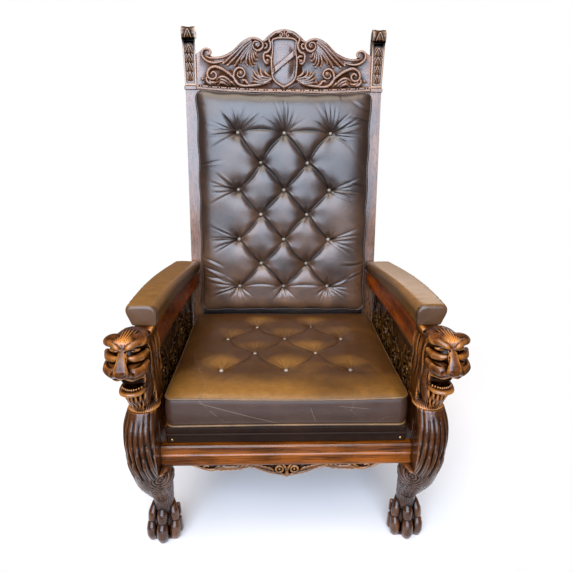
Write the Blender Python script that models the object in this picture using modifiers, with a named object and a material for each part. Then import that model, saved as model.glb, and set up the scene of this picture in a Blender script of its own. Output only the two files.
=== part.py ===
"""A carved oak throne: lion-headed arms, paw feet, a crested back and buttoned leather cushions.

Metres, +Z up, the sitter faces -Y. The origin is on the floor, under the middle of the whole chair.
The back is built upright in the frame of the empty "back_frame", which then leans it.
"""

import math

import bmesh
import bpy
from mathutils import Euler, Matrix, Vector

# Driving dimensions.
GAP = 0.0003  # left between neighbouring pieces
FAR = 2.0  # past the end of any piece, for cutters
FRONT = -0.325  # the seat cushion's front face
LEAN = math.radians(6.0)  # of the back

RAIL_HALF = 0.3297  # half the front rail's length, up to the legs
RAIL_BOTTOM, RAIL_TOP = 0.278, 0.334
DECK_TOP, DECK_DEPTH = 0.382, 0.608
SEAT_HALF, SEAT_DEPTH, SEAT_TOP = 0.319, 0.600, 0.480

LEG_BLOCK_IN, LEG_BLOCK_OUT = 0.330, 0.376  # the square block behind each knee
LEG_BLOCK_DEPTH = 0.060
LEG_TOP = 0.455
PAW_X = 0.350

HEAD_X = 0.375  # the middle of a lion's face
HEAD_TOP = 0.664  # the flat seat for the arm pad
HEAD_BACK = FRONT + LEG_BLOCK_DEPTH

ARM_BOTTOM = 0.577
ARM_TOP_FRONT, ARM_TOP_REAR = 0.660, 0.624
ARM_WIDTH = 0.052
ARM_INNER_FRONT, ARM_INNER_REAR = 0.334, 0.308
PAD_INNER_FRONT, PAD_INNER_REAR = 0.317, 0.302
PAD_OUTER_FRONT, PAD_OUTER_REAR = 0.401, 0.404
PAD_TOP_FRONT, PAD_TOP_REAR = 0.716, 0.662
PAD_UNDERCUT = 0.018  # how far in the outer side's lower edge lies

SIDE_RAIL_IN, SIDE_RAIL_OUT = 0.3175, 0.362
SIDE_RAIL_BOTTOM, SIDE_RAIL_TOP = 0.274, 0.352
PANEL_GROUND = 0.003  # half the thickness of the side panel between its carvings
PANEL_X, PANEL_THICK = 0.3456, 0.018

BACK_Y, BACK_Z = FRONT + 0.636, 0.600  # the pivot that the back leans about
POST_IN, POST_OUT, POST_DEPTH = 0.297, 0.336, 0.044
LEDGE_BOTTOM, LEDGE_TOP = 0.651, 0.664  # heights from here on are above the pivot
FINIAL_TOP = 0.850
FINIAL_IN, FINIAL_OUT = 0.2985, 0.343  # the roll at its top
CREST_BOTTOM = 0.6465
ROLL_RADIUS = 0.0215
CREST_HALF = POST_IN - GAP
CREST_THICK = 0.028
SHIELD_HALF = 0.040
PANEL_LOW = -0.180  # the back panel's lower edge
BACK_CUSHION_HALF, BACK_CUSHION_THICK = 0.291, 0.072
BACK_CUSHION_LOW, BACK_CUSHION_TOP = -0.110, 0.641

BUTTON_RADIUS = 0.0065
BACK_ROWS = (0.000, 0.083, 0.169, 0.256, 0.340, 0.431, 0.529)  # above the lowest row of buttons
BACK_ROW_LOW = -0.021
SEAT_ROWS = (0.145, 0.254, 0.358, 0.455)  # behind the cushion's front


# --- Scene, collections and materials -------------------------------------------------------------


def clear_scene():
    for obj in list(bpy.data.objects):
        bpy.data.objects.remove(obj, do_unlink=True)


def new_collection(name, cutters=False):
    collection = bpy.data.collections.new(name)
    collection.hide_render = cutters
    bpy.context.scene.collection.children.link(collection)
    return collection


def material(name, colour, roughness, metallic=0.0):
    made = bpy.data.materials.new(name)
    made.use_nodes = True
    shader = made.node_tree.nodes["Principled BSDF"]
    shader.inputs["Base Color"].default_value = (*colour, 1.0)
    shader.inputs["Roughness"].default_value = roughness
    shader.inputs["Metallic"].default_value = metallic
    return made


clear_scene()
THRONE = new_collection("carved_throne")
CUTTERS = new_collection("cutters", cutters=True)


def empty(name, location=(0, 0, 0), lean=0.0, parent=None):
    holder = bpy.data.objects.new(name, None)
    holder.location = location
    holder.rotation_euler = (-lean, 0, 0)
    holder.parent = parent
    THRONE.objects.link(holder)
    return holder


ROOT = empty("throne")
BACK = empty("back_frame", (0, BACK_Y, BACK_Z), LEAN, ROOT)
LEANED = Matrix.Translation((0, BACK_Y, BACK_Z)) @ Euler((-LEAN, 0, 0)).to_matrix().to_4x4()


def node(name, mesh, colour, roughness, parent=None, smooth=None):
    """A named piece of the throne; smooth is the angle in degrees under which edges are shaded round."""
    mesh.name = name
    mesh.materials.clear()
    mesh.materials.append(material(name, colour, roughness))
    obj = bpy.data.objects.new(name, mesh)
    obj.parent = parent or ROOT
    THRONE.objects.link(obj)
    if smooth:
        mesh.shade_smooth()
        mesh.set_sharp_from_angle(angle=math.radians(smooth))
    return obj


OAK = ((0.16, 0.055, 0.018), 0.35)
DARK_OAK = ((0.08, 0.028, 0.012), 0.4)
LEATHER = ((0.085, 0.045, 0.025), 0.42)
BUTTON = ((0.30, 0.25, 0.20), 0.4)


# --- Modelling tools ------------------------------------------------------------------------------


def mesh_of(bm):
    mesh = bpy.data.meshes.new("shape")
    bm.normal_update()
    bm.to_mesh(mesh)
    bm.free()
    return mesh


def evaluated_mesh(obj):
    """The object's mesh with its modifiers, after which the object is removed."""
    bpy.context.view_layer.update()
    graph = bpy.context.evaluated_depsgraph_get()
    mesh = bpy.data.meshes.new_from_object(obj.evaluated_get(graph))
    data = obj.data
    bpy.data.objects.remove(obj, do_unlink=True)
    if isinstance(data, bpy.types.Curve):
        bpy.data.curves.remove(data)
        bm = bmesh.new()
        bm.from_mesh(mesh)
        bmesh.ops.remove_doubles(bm, verts=bm.verts, dist=1e-5)
        bm.to_mesh(mesh)
        bm.free()
    return mesh


def scratch(mesh):
    obj = bpy.data.objects.new("scratch", mesh)
    CUTTERS.objects.link(obj)
    obj.display_type = "WIRE"
    return obj


def block(low, high):
    bm = bmesh.new()
    low, high = Vector(low), Vector(high)
    size = Matrix.Diagonal((*(high - low), 1.0))
    bmesh.ops.create_cube(bm, size=1.0, matrix=Matrix.Translation((low + high) / 2) @ size)
    return mesh_of(bm)


def bevelled(mesh, width, segments=2):
    obj = scratch(mesh)
    bevel = obj.modifiers.new("edges", "BEVEL")
    bevel.width = width
    bevel.segments = segments
    bevel.limit_method = "ANGLE"
    return evaluated_mesh(obj)


def bent(mesh, cuts, axis, shift):
    """The mesh cut across an axis into even lengths, with each point moved by shift(point)."""
    bm = bmesh.new()
    bm.from_mesh(mesh)
    ends = [v.co[axis] for v in bm.verts]
    low, high = min(ends), max(ends)
    normal = Vector([float(i == axis) for i in range(3)])
    for k in range(1, cuts + 1):
        at = normal * (low + (high - low) * k / (cuts + 1))
        geom = bm.verts[:] + bm.edges[:] + bm.faces[:]
        bmesh.ops.bisect_plane(bm, geom=geom, plane_co=at, plane_no=normal)
    for vert in bm.verts:
        vert.co += Vector(shift(vert.co))
    return mesh_of(bm)


def joined(kind, first, *others):
    """Boolean of closed meshes: kind is UNION, DIFFERENCE or INTERSECT."""
    base = scratch(first)
    helpers = [scratch(mesh) for mesh in others]
    for helper in helpers:
        boolean = base.modifiers.new("join", "BOOLEAN")
        boolean.operation = kind
        boolean.solver = "EXACT"
        boolean.object = helper
    mesh = evaluated_mesh(base)
    for helper in helpers:
        bpy.data.objects.remove(helper, do_unlink=True)
    return mesh


def mirrored(mesh):
    """A copy of the mesh for the other side of the chair."""
    bm = bmesh.new()
    bm.from_mesh(mesh)
    bm.transform(Matrix.Scale(-1, 4, (1, 0, 0)))
    bmesh.ops.reverse_faces(bm, faces=bm.faces)
    return mesh_of(bm)


def extruded(outline, thick, plane):
    """A flat outline as a filled 2D curve, thick across the named plane (XZ, YZ or XY)."""
    curve = bpy.data.curves.new("outline", "CURVE")
    curve.dimensions = "2D"
    curve.fill_mode = "BOTH"
    curve.extrude = thick / 2
    spline = curve.splines.new("POLY")
    spline.points.add(len(outline) - 1)
    for point, (a, b) in zip(spline.points, outline):
        point.co = (a, b, 0, 1)
    spline.use_cyclic_u = True
    mesh = evaluated_mesh(scratch(curve))
    turns = {"XY": Matrix.Identity(4), "XZ": Euler((math.pi / 2, 0, 0)).to_matrix().to_4x4()}
    turns["YZ"] = Matrix(((0, 0, 1, 0), (1, 0, 0, 0), (0, 1, 0, 0), (0, 0, 0, 1)))
    mesh.transform(turns[plane])
    bm = bmesh.new()
    bm.from_mesh(mesh)
    bmesh.ops.recalc_face_normals(bm, faces=bm.faces)
    return mesh_of(bm)


def moved(mesh, by):
    mesh.transform(Matrix.Translation(by))
    return mesh


def spline_points(points, steps=4):
    """A smooth run of points through the given ones (Catmull-Rom)."""
    points = [Vector(p) for p in points]
    ends = [2 * points[0] - points[1], *points, 2 * points[-1] - points[-2]]
    run = []
    for a, b, c, d in zip(ends, ends[1:], ends[2:], ends[3:]):
        for k in range(steps):
            t = k / steps
            bend = 2 * a - 5 * b + 4 * c - d
            twist = 3 * (b - c) + d - a
            run.append(b + (c - a) * (t / 2) + bend * (t * t / 2) + twist * (t**3 / 2))
    run.append(points[-1])
    return run


def spread(values, count):
    """The listed values as an even run of count of them."""
    run = []
    for k in range(count):
        t = k * (len(values) - 1) / (count - 1)
        i = min(int(t), len(values) - 2)
        run.append(values[i] + (values[i + 1] - values[i]) * (t - i))
    return run


def volute(centre, start_radius, end_radius, start_deg, turns, count=14):
    """Points (a, b) of a scroll that winds from its outer radius to its inner one."""
    run = []
    for k in range(count):
        t = k / (count - 1)
        radius = start_radius + (end_radius - start_radius) * t
        angle = math.radians(start_deg + 360 * turns * t)
        run.append((centre[0] + radius * math.cos(angle), centre[1] + radius * math.sin(angle)))
    return run


class Carving:
    """Rough shapes gathered for one carved piece, then fused into one closed skin."""

    def __init__(self):
        self.bm = bmesh.new()
        self.curve = bpy.data.curves.new("strands", "CURVE")
        self.curve.dimensions = "3D"
        self.curve.bevel_depth = 1.0
        self.curve.bevel_resolution = 2
        self.curve.use_fill_caps = True

    def ball(self, at, size, turn=(0, 0, 0)):
        turn = Euler([math.radians(angle) for angle in turn])
        place = Matrix.LocRotScale(Vector(at), turn, Vector(size))
        bmesh.ops.create_uvsphere(self.bm, u_segments=20, v_segments=12, radius=1, matrix=place)

    def strand(self, points, radii, smooth=True):
        run = spline_points(points) if smooth else [Vector(p) for p in points]
        spline = self.curve.splines.new("POLY")
        spline.points.add(len(run) - 1)
        for point, place, radius in zip(spline.points, run, spread(radii, len(run))):
            point.co = (*place, 1)
            point.radius = radius

    def add(self, mesh):
        self.bm.from_mesh(mesh)
        bpy.data.meshes.remove(mesh)

    def fused(self, voxel, triangles, smoothing=2):
        if self.curve.splines:
            self.add(evaluated_mesh(scratch(self.curve)))
        obj = scratch(mesh_of(self.bm))
        remesh = obj.modifiers.new("skin", "REMESH")
        remesh.mode = "VOXEL"
        remesh.voxel_size = voxel
        smooth = obj.modifiers.new("soften", "SMOOTH")
        smooth.factor = 0.5
        smooth.iterations = smoothing
        skin = largest_body(evaluated_mesh(obj))
        obj = scratch(skin)
        thin = obj.modifiers.new("facets", "DECIMATE")
        thin.ratio = triangles / (2 * len(skin.polygons))
        return evaluated_mesh(obj)


def largest_body(mesh):
    """Drops the loose bits and sealed hollows that a voxel skin can leave."""
    bm = bmesh.new()
    bm.from_mesh(mesh)
    left = set(bm.verts)
    bodies = []
    while left:
        queue = [left.pop()]
        body = set(queue)
        while queue:
            for edge in queue.pop().link_edges:
                for vert in edge.verts:
                    if vert not in body:
                        body.add(vert)
                        queue.append(vert)
        left -= body
        bodies.append(body)
    keep = max(bodies, key=len)
    bmesh.ops.delete(bm, geom=[v for v in bm.verts if v not in keep], context="VERTS")
    return mesh_of(bm)


def space_behind_posts():
    """The right post's place and all that lies inward of it and behind its front face, less the usual gap."""
    mesh = block((-FAR, -GAP, -FAR), (POST_OUT + GAP, FAR, FAR))
    mesh.transform(LEANED)
    return mesh


def cut_away(mesh, *boxes):
    return joined("DIFFERENCE", mesh, *(block(low, high) for low, high in boxes))


# --- Front legs -----------------------------------------------------------------------------------


def front_leg():
    """The right leg: a fluted knee with leaf tips, a scroll under the rail, a thin shank and a paw."""
    carving = Carving()
    carving.add(block((LEG_BLOCK_IN, FRONT, 0.262), (LEG_BLOCK_OUT, FRONT + LEG_BLOCK_DEPTH, 0.47)))
    core = [(0.362, 0.010, 0.470), (0.367, -0.016, 0.425), (0.365, -0.028, 0.370), (0.361, -0.024, 0.310),
            (0.357, -0.008, 0.250), (0.351, 0.020, 0.200), (0.346, 0.042, 0.150), (0.348, 0.052, 0.110),
            (PAW_X, 0.056, 0.060)]
    widths = [0.032, 0.042, 0.044, 0.046, 0.048, 0.041, 0.0285, 0.027, 0.028]
    carving.strand([(x, FRONT + y, z) for x, y, z in core], widths)
    # Flutes: long ridges that run down the knee, from the inner side round the front to the outer side.
    for k in range(7):
        turn = math.radians(-160 + 28 * k)
        reach = 0.040
        ridge = []
        for x, y, z, grow in ((0.364, -0.010, 0.452, 0.72), (0.366, -0.018, 0.415, 1.0),
                              (0.364, -0.024, 0.375, 1.06), (0.360, -0.026, 0.335, 1.04)):
            ridge.append((x + reach * grow * math.cos(turn), FRONT + y + reach * grow * math.sin(turn), z))
        carving.strand(ridge, [0.003, 0.0085, 0.0095, 0.006])
    # Leaf tips that lie over each other below the flutes.
    for row, (z, count) in enumerate(((0.330, 5), (0.290, 4))):
        for k in range(count):
            turn = math.radians(-165 + (150 / (count - 1)) * k)
            reach = 0.041 - 0.002 * row
            x, y = 0.358 - 0.004 * row + reach * math.cos(turn), FRONT - 0.024 + reach * math.sin(turn)
            carving.ball((x, y, z), (0.011, 0.009, 0.026), (0, 0, math.degrees(turn) + 90))
    # The scroll that tucks the knee under the rail.
    for x, size in ((0.318, 0.0085), (0.330, 0.010)):
        curl = volute((FRONT - 0.004, 0.262), 0.036, 0.010, 100, -0.95)
        carving.strand([(x, y, z) for y, z in curl], [size, size, size * 0.8])
    carving.ball((0.322, FRONT - 0.004, 0.258), (0.018, 0.026, 0.028))
    # The paw: four toes of two knuckles and a claw, and a dew toe behind.
    for k in range(4):
        side = (k - 1.5) / 1.5
        x = PAW_X + 0.035 * side
        front = FRONT + 0.006 + 0.014 * side * side
        carving.ball((x - 0.005 * side, front + 0.026, 0.080), (0.0120, 0.021, 0.026), (-20, 0, 0))
        carving.ball((x, front + 0.012, 0.038), (0.0130, 0.017, 0.024), (-12, 0, 0))
        carving.strand([(x, front + 0.008, 0.032), (x, front - 0.004, 0.018), (x, front - 0.002, 0.000)],
                       [0.0090, 0.0080, 0.0045])
    carving.ball((PAW_X, FRONT + 0.048, 0.038), (0.042, 0.032, 0.038))
    carving.ball((PAW_X, FRONT + 0.078, 0.066), (0.012, 0.014, 0.022))
    carving.add(block((PAW_X - 0.034, FRONT + 0.022, -0.012), (PAW_X + 0.034, FRONT + 0.072, 0.016)))
    mesh = carving.fused(voxel=0.0028, triangles=860)
    room = ((-FAR, -FAR, RAIL_BOTTOM - GAP), (LEG_BLOCK_IN, FAR, FAR))
    behind = ((-FAR, FRONT + LEG_BLOCK_DEPTH, 0.20), (FAR, FAR, FAR))
    above = ((-FAR, -FAR, LEG_TOP), (FAR, FAR, FAR))
    floor = ((-FAR, -FAR, -FAR), (FAR, FAR, 0))
    return cut_away(mesh, room, behind, above, floor)


# --- Lion heads -----------------------------------------------------------------------------------


def lion_head():
    """The right arm's front post, carved as a lion's head that looks ahead over the knee."""
    carving = Carving()
    carving.add(block((LEG_BLOCK_IN, FRONT - 0.004, 0.445), (LEG_BLOCK_OUT, HEAD_BACK + 0.004, 0.675)))

    def at(dx, y, z):
        return (HEAD_X + dx, FRONT + y, z)

    # The skull, the neck, and the masses of the mane on both sides and of the beard.
    carving.ball(at(-0.001, -0.034, 0.621), (0.0445, 0.053, 0.046))
    carving.ball(at(-0.004, -0.016, 0.634), (0.043, 0.050, 0.034))
    carving.ball(at(-0.004, -0.040, 0.570), (0.030, 0.036, 0.060))
    carving.strand([at(-0.030, -0.026, 0.650), at(-0.034, -0.022, 0.560), at(-0.022, -0.008, 0.450)],
                   [0.014, 0.016, 0.013])
    carving.strand([at(0.026, -0.022, 0.645), at(0.022, -0.018, 0.560), at(0.000, -0.006, 0.450)],
                   [0.013, 0.014, 0.014])
    carving.strand([at(-0.006, -0.062, 0.530), at(-0.008, -0.056, 0.500), at(-0.010, -0.034, 0.450)],
                   [0.019, 0.016, 0.014])
    for side in (-1, 1):
        carving.ball(at(0.027 * side, -0.068, 0.6490), (0.023, 0.020, 0.0110), (16, 4 * side, -20 * side))
        carving.ball(at(0.024 * side, -0.076, 0.6330), (0.011, 0.010, 0.0065))
        carving.ball(at(0.031 * side, -0.074, 0.6205), (0.018, 0.020, 0.0100), (0, -8 * side, -22 * side))
        carving.ball(at(0.022 * side, -0.084, 0.5985), (0.023, 0.024, 0.0145), (0, -8 * side, -12 * side))
        carving.ball(at(0.017 * side, -0.104, 0.5985), (0.0115, 0.012, 0.0095))
        carving.strand([at(0.028 * side - 0.002, -0.078, 0.590), at(0.023 * side - 0.005, -0.070, 0.566),
                        at(0.020 * side - 0.006, -0.072, 0.545)], [0.008, 0.008, 0.008])
    carving.strand([at(0, -0.078, 0.650), at(0, -0.096, 0.626), at(0, -0.108, 0.607)],
                   [0.011, 0.0125, 0.0145])
    carving.ball(at(0, -0.110, 0.6005), (0.0200, 0.0130, 0.0110))
    # The open mouth: a tongue between the jaws, then the lower lip and the chin.
    carving.ball(at(-0.005, -0.068, 0.5640), (0.025, 0.024, 0.0080))
    carving.ball(at(-0.005, -0.074, 0.5420), (0.026, 0.019, 0.0110))
    carving.ball(at(-0.006, -0.064, 0.5290), (0.021, 0.020, 0.0140))
    # Beard locks that run together under the chin.
    for k in range(5):
        dx = 0.0095 * (k - 2)
        carving.strand([at(dx - 0.005, -0.070, 0.534), at(dx * 0.9 - 0.008, -0.072, 0.506),
                        at(dx * 0.35 - 0.011, -0.046, 0.458)], [0.006, 0.0070, 0.004])
    # Mane: locks combed back over the crown, and long ones down both sides.
    for k in range(7):
        dx = 0.0115 * (k - 3)
        lift = -13 * dx * dx
        carving.strand([at(dx * 0.7, -0.080, 0.655 + lift), at(dx, -0.054, 0.665 + lift),
                        at(dx * 1.05, -0.020, 0.670 + lift)], [0.004, 0.006, 0.005])
    heights = (0.652, 0.620, 0.575, 0.530, 0.462)
    inner = (-0.036, -0.045, -0.042, -0.040, -0.030)
    outer = (0.033, 0.039, 0.030, 0.017, -0.004)
    for side in (inner, outer):
        for k in range(5):
            back = -0.058 + 0.014 * k
            wave = 0.004 * (1 if k % 2 else -1)
            lock = []
            for i, (dx, z) in enumerate(zip(side, heights)):
                lock.append(at(dx, back + 0.0045 * i, z + wave * (i % 2)))
            carving.strand(lock, [0.006, 0.008, 0.008, 0.0075, 0.004])
    mesh = carving.fused(voxel=0.0026, triangles=820, smoothing=1)
    beside = ((-FAR, -FAR, -FAR), (LEG_BLOCK_IN - 0.006, FAR, FAR))
    behind = ((-FAR, HEAD_BACK, -FAR), (FAR, FAR, FAR))
    above = ((-FAR, FRONT + 0.012, HEAD_TOP - 0.001), (FAR, FAR, FAR))
    below = ((-FAR, -FAR, -FAR), (FAR, FAR, LEG_TOP + GAP))
    return cut_away(mesh, beside, behind, above, below)


# --- Arms and sides -------------------------------------------------------------------------------


def along_arm(y):
    """How far a point is along the arm, from 0 at the front to 1 at the back post."""
    return (y - HEAD_BACK) / (post_front(0.60) - HEAD_BACK)


def post_front(z):
    return BACK_Y + (z - BACK_Z) * math.tan(LEAN)


def slope(front, rear, t):
    """From front to rear with a slow start, as the arms curve."""
    return front + (rear - front) * t * t * (1.6 - 0.6 * t)


def arm_rail():
    """The board under the pad, which curves inward and down towards the back post."""

    def shift(point):
        t = min(max(along_arm(point.y), 0), 1)
        outer = point.x > ARM_INNER_FRONT + ARM_WIDTH / 2
        dx = 0.0 if outer else slope(ARM_INNER_FRONT, ARM_INNER_REAR, t) - ARM_INNER_FRONT
        upper = point.z > (ARM_BOTTOM + ARM_TOP_FRONT) / 2
        dz = slope(ARM_TOP_FRONT, ARM_TOP_REAR, t) - ARM_TOP_FRONT if upper else 0.0
        # The rear end leans with the post that it meets.
        dy = (point.z + dz - ARM_BOTTOM) * math.tan(LEAN) * t
        return (dx, dy, dz)

    low = (ARM_INNER_FRONT, HEAD_BACK + GAP, ARM_BOTTOM)
    high = (ARM_INNER_FRONT + ARM_WIDTH, post_front(ARM_BOTTOM) - GAP, ARM_TOP_FRONT)
    mesh = bent(block(low, high), 4, 1, shift)
    return bevelled(mesh, 0.004, 1)


def arm_pad():
    """The padded armrest, which reaches forward over the lion's head."""
    front, rear = FRONT + 0.016, post_front(0.64) - 0.004
    low_front, low_rear = HEAD_TOP + GAP, ARM_TOP_REAR + 0.001

    def shift(point):
        t = (point.y - front) / (rear - front)
        outer = point.x > (PAD_INNER_FRONT + PAD_OUTER_FRONT) / 2
        upper = point.z > (low_front + PAD_TOP_FRONT) / 2
        bow = 0.007 * math.sin(math.pi * t)
        if outer:
            dx = slope(PAD_OUTER_FRONT, PAD_OUTER_REAR, t) - PAD_OUTER_FRONT + bow
        else:
            dx = slope(PAD_INNER_FRONT, PAD_INNER_REAR, t) - PAD_INNER_FRONT
        if upper:
            dz = slope(PAD_TOP_FRONT, PAD_TOP_REAR, t) - PAD_TOP_FRONT
        else:
            dz = slope(low_front, low_rear, t) - low_front
        if not upper and outer:
            dx -= PAD_UNDERCUT
        return (dx, 0, dz)

    low, high = (PAD_INNER_FRONT, front, low_front), (PAD_OUTER_FRONT, rear, PAD_TOP_FRONT)
    mesh = bent(block(low, high), 5, 1, shift)
    return bevelled(mesh, 0.011, 2)


def side_rail():
    """The rail between the front leg's block and the back post."""
    low = (SIDE_RAIL_IN, FRONT + LEG_BLOCK_DEPTH + GAP, SIDE_RAIL_BOTTOM)
    high = (SIDE_RAIL_OUT, post_front(SIDE_RAIL_BOTTOM) + 0.006, SIDE_RAIL_TOP)
    return bevelled(block(low, high), 0.004, 1)


def side_panel():
    """A board carved on both faces: a frame, two pairs of scrolls that face each other and leaves between."""
    carving = Carving()
    front, rear = HEAD_BACK - 0.004, post_front(SIDE_RAIL_TOP)
    low, high = SIDE_RAIL_TOP - 0.004, ARM_BOTTOM + 0.004
    half = PANEL_THICK / 2
    frame = 0.016
    past_post = rear + 0.030  # the board laps the outer side of the leaning post
    carving.add(block((PANEL_X - PANEL_GROUND, front, low), (PANEL_X + PANEL_GROUND, past_post, high)))
    for y1, z1, y2, z2 in ((front, low, rear, low + frame), (front, high - frame, past_post, high),
                           (front, low, front + frame, high), (rear - frame, low, past_post, high)):
        carving.add(block((PANEL_X - half, y1, z1), (PANEL_X + half, y2, z2)))
    middle = (front + rear) / 2
    mid_z = (low + high) / 2
    reach = (rear - front) / 2
    for side in (-1, 1):
        for up in (-1, 1):
            centre = (middle + side * reach * 0.56, mid_z + up * 0.040)
            curl = volute(centre, 0.050, 0.012, 90 + side * 90, -side * up * 1.15, 18)
            stem = [(middle, mid_z - up * 0.060), (middle + side * 0.050, mid_z - up * 0.020), *curl[2:]]
            carving.strand([(PANEL_X, y, z) for y, z in stem], [0.010, 0.012, 0.009, 0.007])
            carving.ball((PANEL_X, *centre), (half, 0.017, 0.017))
            for k in range(4):
                turn = math.radians(30 + 50 * k)
                y = centre[0] + side * 0.055 * math.cos(turn)
                z = centre[1] + up * 0.052 * math.sin(turn)
                lean = math.degrees(turn) * side * up
                carving.ball((PANEL_X, y, z), (half * 0.9, 0.026, 0.011), (lean, 0, 0))
    carving.ball((PANEL_X, middle, mid_z), (half + 0.003, 0.026, 0.060))
    mesh = carving.fused(voxel=0.0035, triangles=420, smoothing=1)
    mesh = joined("DIFFERENCE", mesh, space_behind_posts())
    return cut_away(
        mesh,
        ((-FAR, -FAR, -FAR), (FAR, HEAD_BACK + GAP, FAR)),
        ((-FAR, -FAR, -FAR), (FAR, FAR, SIDE_RAIL_TOP + GAP)),
        ((-FAR, -FAR, ARM_BOTTOM - GAP), (FAR, FAR, FAR)),
    )


# --- Seat -----------------------------------------------------------------------------------------


def front_rail():
    """A moulded rail: a flat face, a bead and a lower lip, the same all along."""
    face, lip, back = FRONT - 0.008, FRONT - 0.014, FRONT + 0.018
    profile = [(back, RAIL_BOTTOM), (lip + 0.002, RAIL_BOTTOM), (lip, RAIL_BOTTOM + 0.004),
               (lip, RAIL_BOTTOM + 0.009), (face + 0.002, RAIL_BOTTOM + 0.012),
               (face + 0.002, RAIL_BOTTOM + 0.024), (face - 0.002, RAIL_BOTTOM + 0.026),
               (face - 0.002, RAIL_BOTTOM + 0.029), (face, RAIL_BOTTOM + 0.032),
               (face, RAIL_TOP - 0.004), (face + 0.004, RAIL_TOP), (back, RAIL_TOP)]
    return extruded(profile, 2 * RAIL_HALF, "YZ")


def front_apron():
    """The carved drop under the front rail: a pointed centre, two round eyes and leafy scrolls."""
    carving = Carving()
    top = RAIL_BOTTOM - GAP
    y, thick = FRONT + 0.002, 0.014
    end = 0.264
    edge = [(0.0, 0.2325), (0.022, 0.241), (0.045, 0.247), (0.075, 0.258), (0.120, 0.262), (0.175, 0.262),
            (0.205, 0.256), (0.225, 0.257), (0.240, 0.268), (end, 0.274)]
    low = spline_points([(x, z, 0) for x, z in edge], 2)
    outline = [(p.x, p.y) for p in low] + [(end, top + 0.004)]
    outline += [(-x, z) for x, z in reversed(outline)][:-1]
    carving.add(moved(extruded(outline, thick, "XZ"), (0, y, 0)))
    face = y - thick / 2
    for side in (-1, 1):
        def at(x, z, out=0.0):
            return (side * x, face - out, z)

        carving.ball(at(0.020, 0.258), (0.010, 0.007, 0.010))
        carving.strand([at(0.004, 0.242), at(0.034, 0.252), at(0.070, 0.266), at(0.110, 0.270)],
                       [0.004, 0.0045, 0.004, 0.002])
        carving.strand([at(0.090, 0.264), at(0.140, 0.271), at(0.185, 0.268), at(0.212, 0.262),
                        at(0.226, 0.267), at(0.218, 0.272)], [0.002, 0.004, 0.0045, 0.005, 0.004, 0.003])
        for k in range(4):
            leaf = at(0.150 + 0.018 * k, 0.262 + 0.002 * (k % 2))
            carving.ball(leaf, (0.010, 0.0055, 0.004), (0, 24 * side, 0))
    carving.ball((0, face, 0.250), (0.008, 0.006, 0.013))
    mesh = carving.fused(voxel=0.0020, triangles=300, smoothing=1)
    above = ((-FAR, -FAR, top), (FAR, FAR, FAR))
    behind = ((-FAR, y + thick / 2 - 0.0005, -FAR), (FAR, FAR, FAR))
    return cut_away(mesh, above, behind)


def seat_deck():
    """The covered frame that the cushion lies on, with a welt along its front."""
    half, set_back = SEAT_HALF - 0.002, FRONT + 0.006
    deck = block((-half, set_back, RAIL_TOP + GAP), (half, FRONT + DECK_DEPTH, DECK_TOP))
    deck = bevelled(deck, 0.004, 1)
    welt_z, welt_half = 0.362, 0.0035
    welt = block((-half, set_back - 0.005, welt_z - welt_half), (half, set_back + 0.004, welt_z + welt_half))
    return joined("UNION", deck, bevelled(welt, 0.002, 1))


def crowned(half, depth, low, high, crown, waist):
    """A cushion: flat below, crowned on top, its sides pulled in between the corners."""
    bm = bmesh.new()
    matrix = Matrix.Translation((0, depth / 2, (low + high) / 2))
    matrix @= Matrix.Diagonal((2 * half, depth, high - low, 1))
    bmesh.ops.create_cube(bm, size=1.0, matrix=matrix)
    bmesh.ops.subdivide_edges(bm, edges=bm.edges[:], cuts=2, use_grid_fill=True)
    for vert in bm.verts:
        u, v = vert.co.x / half, 2 * vert.co.y / depth - 1
        w = (vert.co.z - low) / (high - low)
        vert.co.x -= math.copysign(waist * (1 - v * v), vert.co.x) * abs(u) ** 3
        vert.co.y -= math.copysign(waist * (1 - u * u), v) * abs(v) ** 3
        vert.co.z += crown * w * (1 - u**4) * (1 - v**4)
    return bevelled(mesh_of(bm), 0.008, 2)


def seat_cushion():
    mesh = crowned(SEAT_HALF, SEAT_DEPTH, DECK_TOP + GAP, SEAT_TOP - 0.006, 0.006, 0.004)
    return moved(mesh, (0, FRONT, 0))


def button(radius=BUTTON_RADIUS):
    """A domed cover with a flat underside, standing on z = 0."""
    bm = bmesh.new()
    bmesh.ops.create_cone(bm, cap_ends=True, segments=6, radius1=radius, radius2=radius * 0.55,
                          depth=0.004, matrix=Matrix.Translation((0, 0, 0.002)))
    return mesh_of(bm)


def place_button(name, at, upright, parent):
    obj = node(name, button(), *BUTTON, parent=parent, smooth=50)
    obj.location = at
    if not upright:
        obj.rotation_euler = (math.pi / 2, 0, 0)


# --- Back -----------------------------------------------------------------------------------------


def finial_body():
    """The right finial's body, whose outer side spreads towards the top."""

    def flare(point):
        t = max((point.z - LEDGE_TOP) / (FINIAL_TOP - LEDGE_TOP), 0)
        outer = point.x > (POST_IN + POST_OUT) / 2
        return ((FINIAL_OUT - POST_OUT) * t if outer else (FINIAL_IN - POST_IN) * t, -0.006 * t, 0)

    low = (POST_IN, 0.000, LEDGE_BOTTOM - 0.01)
    high = (POST_OUT, 0.040, FINIAL_TOP - 0.022)
    return bent(block(low, high), 2, 2, flare)


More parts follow.
